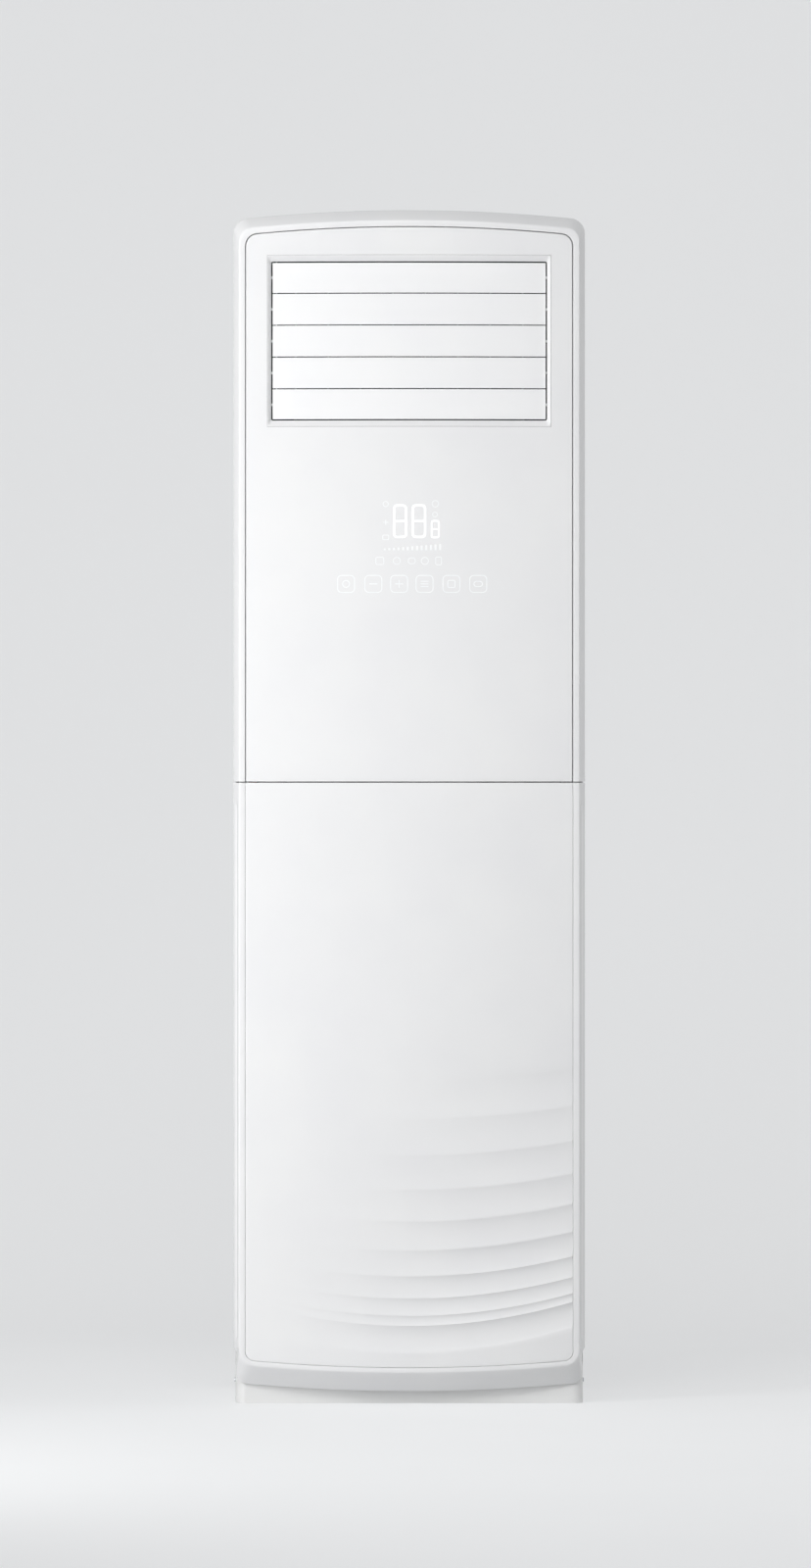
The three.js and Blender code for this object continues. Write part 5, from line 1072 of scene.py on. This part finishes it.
def finish_tree(tree, geometry, material):
    real = add(tree, "GeometryNodeRealizeInstances", {"Geometry": geometry}).outputs["Geometry"]
    named = add(tree, "GeometryNodeSetMaterial", {"Geometry": real, "Material": material})
    add(tree, "NodeGroupOutput", {"Geometry": named.outputs["Geometry"]})


# %% [markdown]
# A pan head screw is a low cone with a cross cut into it. The tree sets one on every vertex of a
# mesh of loose points and turns it to the direction stored there.

# %% Screw tree
FLOAT = "NodeSocketFloat"
screw_tree, sizes_in = new_tree("pan_head_screws", Head_Width=FLOAT, Head_Height=FLOAT, Slot_Width=FLOAT)
half_width, crown, slot_long = [
    add(screw_tree, "ShaderNodeMath", {0: sizes_in["Head Width"], 1: share}, operation="MULTIPLY").outputs[0]
    for share in (0.5, 0.36, 0.55)
]
head = add(
    screw_tree,
    "GeometryNodeMeshCone",
    {"Vertices": 24, "Radius Top": crown, "Radius Bottom": half_width, "Depth": sizes_in["Head Height"]},
).outputs["Mesh"]
arms = []
for first, second in ((slot_long, sizes_in["Slot Width"]), (sizes_in["Slot Width"], slot_long)):
    size = add(screw_tree, "ShaderNodeCombineXYZ", {"X": first, "Y": second, "Z": sizes_in["Head Height"]})
    bar = add(screw_tree, "GeometryNodeMeshCube", {"Size": size.outputs[0]}).outputs["Mesh"]
    lift = add(screw_tree, "ShaderNodeCombineXYZ", {"Z": sizes_in["Head Height"]}).outputs[0]
    raised = add(screw_tree, "GeometryNodeTransform", {"Geometry": bar, "Translation": lift})
    arms.append(raised.outputs["Geometry"])
cut = add(screw_tree, "GeometryNodeMeshBoolean", {"Mesh 1": head}, operation="DIFFERENCE")
for arm in arms:
    screw_tree.links.new(arm, cut.inputs["Mesh 2"])
facing = add(screw_tree, "GeometryNodeInputNamedAttribute", {"Name": "facing"}, data_type="FLOAT_VECTOR")
turn = add(screw_tree, "FunctionNodeAlignRotationToVector", {"Vector": facing.outputs["Attribute"]}, axis="Z")
heads = add(
    screw_tree,
    "GeometryNodeInstanceOnPoints",
    {"Points": sizes_in["Geometry"], "Instance": cut.outputs["Mesh"], "Rotation": turn.outputs["Rotation"]},
)
finish_tree(screw_tree, heads.outputs["Instances"], zinc)
print("screw tree", len(screw_tree.nodes), "nodes")

# %% Screws on the walls
WALL_X, REAR_Y, SUNK = 0.267, 0.188, 0.0002
rear_heights = (0.08, 0.41, 0.74, 1.07, 1.40, 1.745)
screws = [((x, REAR_Y - SUNK, z), (0, 1, 0)) for x in (-0.258, 0.258) for z in rear_heights]
screws += [((x, REAR_Y - SUNK, z), (0, 1, 0)) for x in (-0.09, 0.09) for z in (0.078, 1.748)]
for side in (-1, 1):
    screws += [((side * (WALL_X - SUNK), 0.170, z), (side, 0, 0)) for z in (0.085, 0.50, 0.935, 1.34, 1.745)]
    screws += [((side * (WALL_X - SUNK), y, 1.795), (side, 0, 0)) for y in (-0.10, 0.15)]
    screws += [((side * (WALL_X - SUNK), y, 0.032), (side, 0, 0)) for y in (-0.10, 0.15)]
spots = bpy.data.meshes.new("screw_spots")
spots.from_pydata([place for place, _ in screws], [], [])
aim = spots.attributes.new("facing", "FLOAT_VECTOR", "POINT")
aim.data.foreach_set("vector", [v for _, way in screws for v in way])
pan_head = {"Head Width": 0.0082, "Head Height": 0.0028, "Slot Width": 0.0011}
heads = grown("wall_screws", spots, screw_tree, pan_head)
heads.data.set_sharp_from_angle(angle=math.radians(25))
settle(heads, "cabinet", "zinc_sheet")
print(len(screws), "screws")

# %% [markdown]
# The coil's fins are aluminium a tenth of a millimetre thick, about two millimetres apart, with
# ripples that stir the air. They are drawn 0.4 mm thick so that they show. One rippled plate is
# repeated along a line across the coil, and the pack is then leaned back.

# %% Fin tree
fin_tree, fin_in = new_tree(
    "coil_fins",
    Fins="NodeSocketInt",
    Pitch=FLOAT,
    Plate="NodeSocketVector",
    Ripple=FLOAT,
    Ripples=FLOAT,
    Lean="NodeSocketRotation",
    Middle="NodeSocketVector",
)
plate = add(fin_tree, "GeometryNodeMeshCube", {"Size": fin_in["Plate"], "Vertices Y": 13}).outputs["Mesh"]
where = add(fin_tree, "GeometryNodeInputPosition").outputs[0]
along = add(fin_tree, "ShaderNodeSeparateXYZ", {"Vector": where}).outputs["Y"]
wave = add(fin_tree, "ShaderNodeMath", {0: along, 1: fin_in["Ripples"]}, operation="MULTIPLY").outputs[0]
wave = add(fin_tree, "ShaderNodeMath", {0: wave}, operation="SINE").outputs[0]
wave = add(fin_tree, "ShaderNodeMath", {0: wave, 1: fin_in["Ripple"]}, operation="MULTIPLY").outputs[0]
shift = add(fin_tree, "ShaderNodeCombineXYZ", {"X": wave}).outputs[0]
fin = add(fin_tree, "GeometryNodeSetPosition", {"Geometry": plate, "Offset": shift}).outputs["Geometry"]
step = add(fin_tree, "ShaderNodeCombineXYZ", {"X": fin_in["Pitch"]}).outputs[0]
row = add(fin_tree, "GeometryNodeMeshLine", {"Count": fin_in["Fins"], "Offset": step}).outputs["Mesh"]
pack = add(fin_tree, "GeometryNodeInstanceOnPoints", {"Points": row, "Instance": fin}).outputs["Instances"]
leaned = {"Geometry": pack, "Translation": fin_in["Middle"], "Rotation": fin_in["Lean"]}
pack = add(fin_tree, "GeometryNodeTransform", leaned).outputs["Geometry"]
finish_tree(fin_tree, pack, fin_stock)
print("fin tree", len(fin_tree.nodes), "nodes")

# %% Coil
low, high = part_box("evaporator_fins")
FIN_PITCH, FIN_THICK, FIN_DEPTH, FIN_LENGTH, COIL_LEAN = 0.002, 0.0004, 0.0439, 0.4699, math.radians(25.78)
fin_count = int((high[0] - low[0] - 0.001) / FIN_PITCH) + 1
start_x = (low[0] + high[0]) / 2 - FIN_PITCH * (fin_count - 1) / 2
fins = grown(
    "coil_fin_pack",
    bpy.data.meshes.new("fin_start"),
    fin_tree,
    {
        "Fins": fin_count,
        "Pitch": FIN_PITCH,
        "Plate": (FIN_THICK, FIN_DEPTH, FIN_LENGTH),
        "Ripple": 0.0002,
        "Ripples": 2 * math.pi / 0.011,
        "Lean": (-COIL_LEAN, 0.0, 0.0),
        "Middle": (start_x, (low[1] + high[1]) / 2, (low[2] + high[2]) / 2),
    },
)
fins.data.set_sharp_from_angle(angle=math.radians(40))
settle(fins, "cabinet", "fin_aluminium", "evaporator_fins")
print(fin_count, "fins")
# %% [markdown]
# ## Floor, backdrop and light
# The floor is a large pale sheet that curves up behind the object. Its underside is clear, so
# that the object can be looked at from behind through it. The main light is a tall soft
# box in front on the left, as in the photograph, where the right ends of the bowed covers fall
# off to grey. A wide one above softens it, a weaker one fills from the right, and the pale
# surroundings do the rest.

# %% Floor
def seen_directly(tree):
    """1 for rays from the camera, a mirror or glass, and 0 for the light on the object."""
    rays = add(tree, "ShaderNodeLightPath").outputs
    first = {0: rays["Is Camera Ray"], 1: rays["Is Glossy Ray"]}
    either = add(tree, "ShaderNodeMath", first, operation="MAXIMUM").outputs[0]
    last = {0: either, 1: rays["Is Transmission Ray"]}
    return add(tree, "ShaderNodeMath", last, operation="MAXIMUM").outputs[0]


def paper_sweep():
    profile = [(-7.0, 0.0), (1.6, 0.0)]
    radius = 1.2
    turn = np.linspace(0.1, math.pi / 2, 14)
    profile += [(1.6 + radius * math.sin(a), radius * (1 - math.cos(a))) for a in turn]
    profile.append((2.8, 7.0))
    points = [(x, y, z) for x in (-6.0, 6.0) for y, z in profile]
    n = len(profile)
    faces = [(i, i + n, i + n + 1, i + 1) for i in range(n - 1)]
    material, tree, shader, place = blank_finish("studio_paper")
    seen = seen_directly(tree)
    fibre = add(tree, "ShaderNodeTexNoise", {"Vector": place, "Scale": MM / 400, "Detail": 3.0}).outputs["Fac"]
    pale = ramp(tree, fibre, [(0.3, "#F1F2F3"), (0.7, "#F3F4F5")])
    paper = add(tree, "ShaderNodeMix", {0: seen, 6: linear("#C8C9CA"), 7: pale}, data_type="RGBA")
    tree.links.new(paper.outputs[2], shader.inputs["Base Color"])
    shader.inputs["Roughness"].default_value = 0.9
    share = add(tree, "ShaderNodeMath", {0: seen, 1: 0.6}, operation="MULTIPLY").outputs[0]
    glow = add(tree, "ShaderNodeEmission", {"Color": linear("#F4F5F6"), "Strength": 1.0}).outputs[0]
    mixed = add(tree, "ShaderNodeMixShader", {0: share, 1: shader.outputs["BSDF"], 2: glow}).outputs[0]
    behind = add(tree, "ShaderNodeNewGeometry").outputs["Backfacing"]
    clear = add(tree, "ShaderNodeBsdfTransparent").outputs[0]
    mixed = add(tree, "ShaderNodeMixShader", {0: behind, 1: mixed, 2: clear}).outputs[0]
    sheet_out = next(node for node in tree.nodes if node.type == "OUTPUT_MATERIAL")
    tree.links.new(mixed, sheet_out.inputs["Surface"])
    sweep = mesh_piece("paper_sweep", points, faces, material, 60, outward=False)
    return sweep


paper_sweep()

# %% Lights
def soft_box(name, place, aim, width, height, watts):
    light = bpy.data.lights.new(name, "AREA")
    light.shape = "RECTANGLE"
    light.size = width
    light.size_y = height
    light.energy = watts
    made = bpy.data.objects.new(name, light)
    made.location = place
    made.rotation_euler = (Vector(aim) - Vector(place)).to_track_quat("-Z", "Y").to_euler()
    bpy.context.scene.collection.objects.link(made)
    return made


soft_box("main_box", (-1.62, -1.85, 0.76), (0, -0.15, 0.80), 0.8, 3.4, 53)
soft_box("sky_box", (-0.6, -4.4, 5.2), (0, 0, 0.9), 3.0, 3.0, 108)
soft_box("fill_box", (2.6, -0.45, 0.9), (0.25, -0.1, 0.9), 0.9, 2.6, 20)
world = bpy.data.worlds.new("surroundings")
world.use_nodes = True
world.node_tree.nodes["Background"].inputs["Color"].default_value = linear("#E6E8EA")
air = world.node_tree
level = add(air, "ShaderNodeMapRange", {"Value": seen_directly(air), "To Min": 0.24, "To Max": 0.9})
air.links.new(level.outputs["Result"], air.nodes["Background"].inputs["Strength"])
bpy.context.scene.world = world
bpy.context.scene.view_settings.view_transform = "Standard"
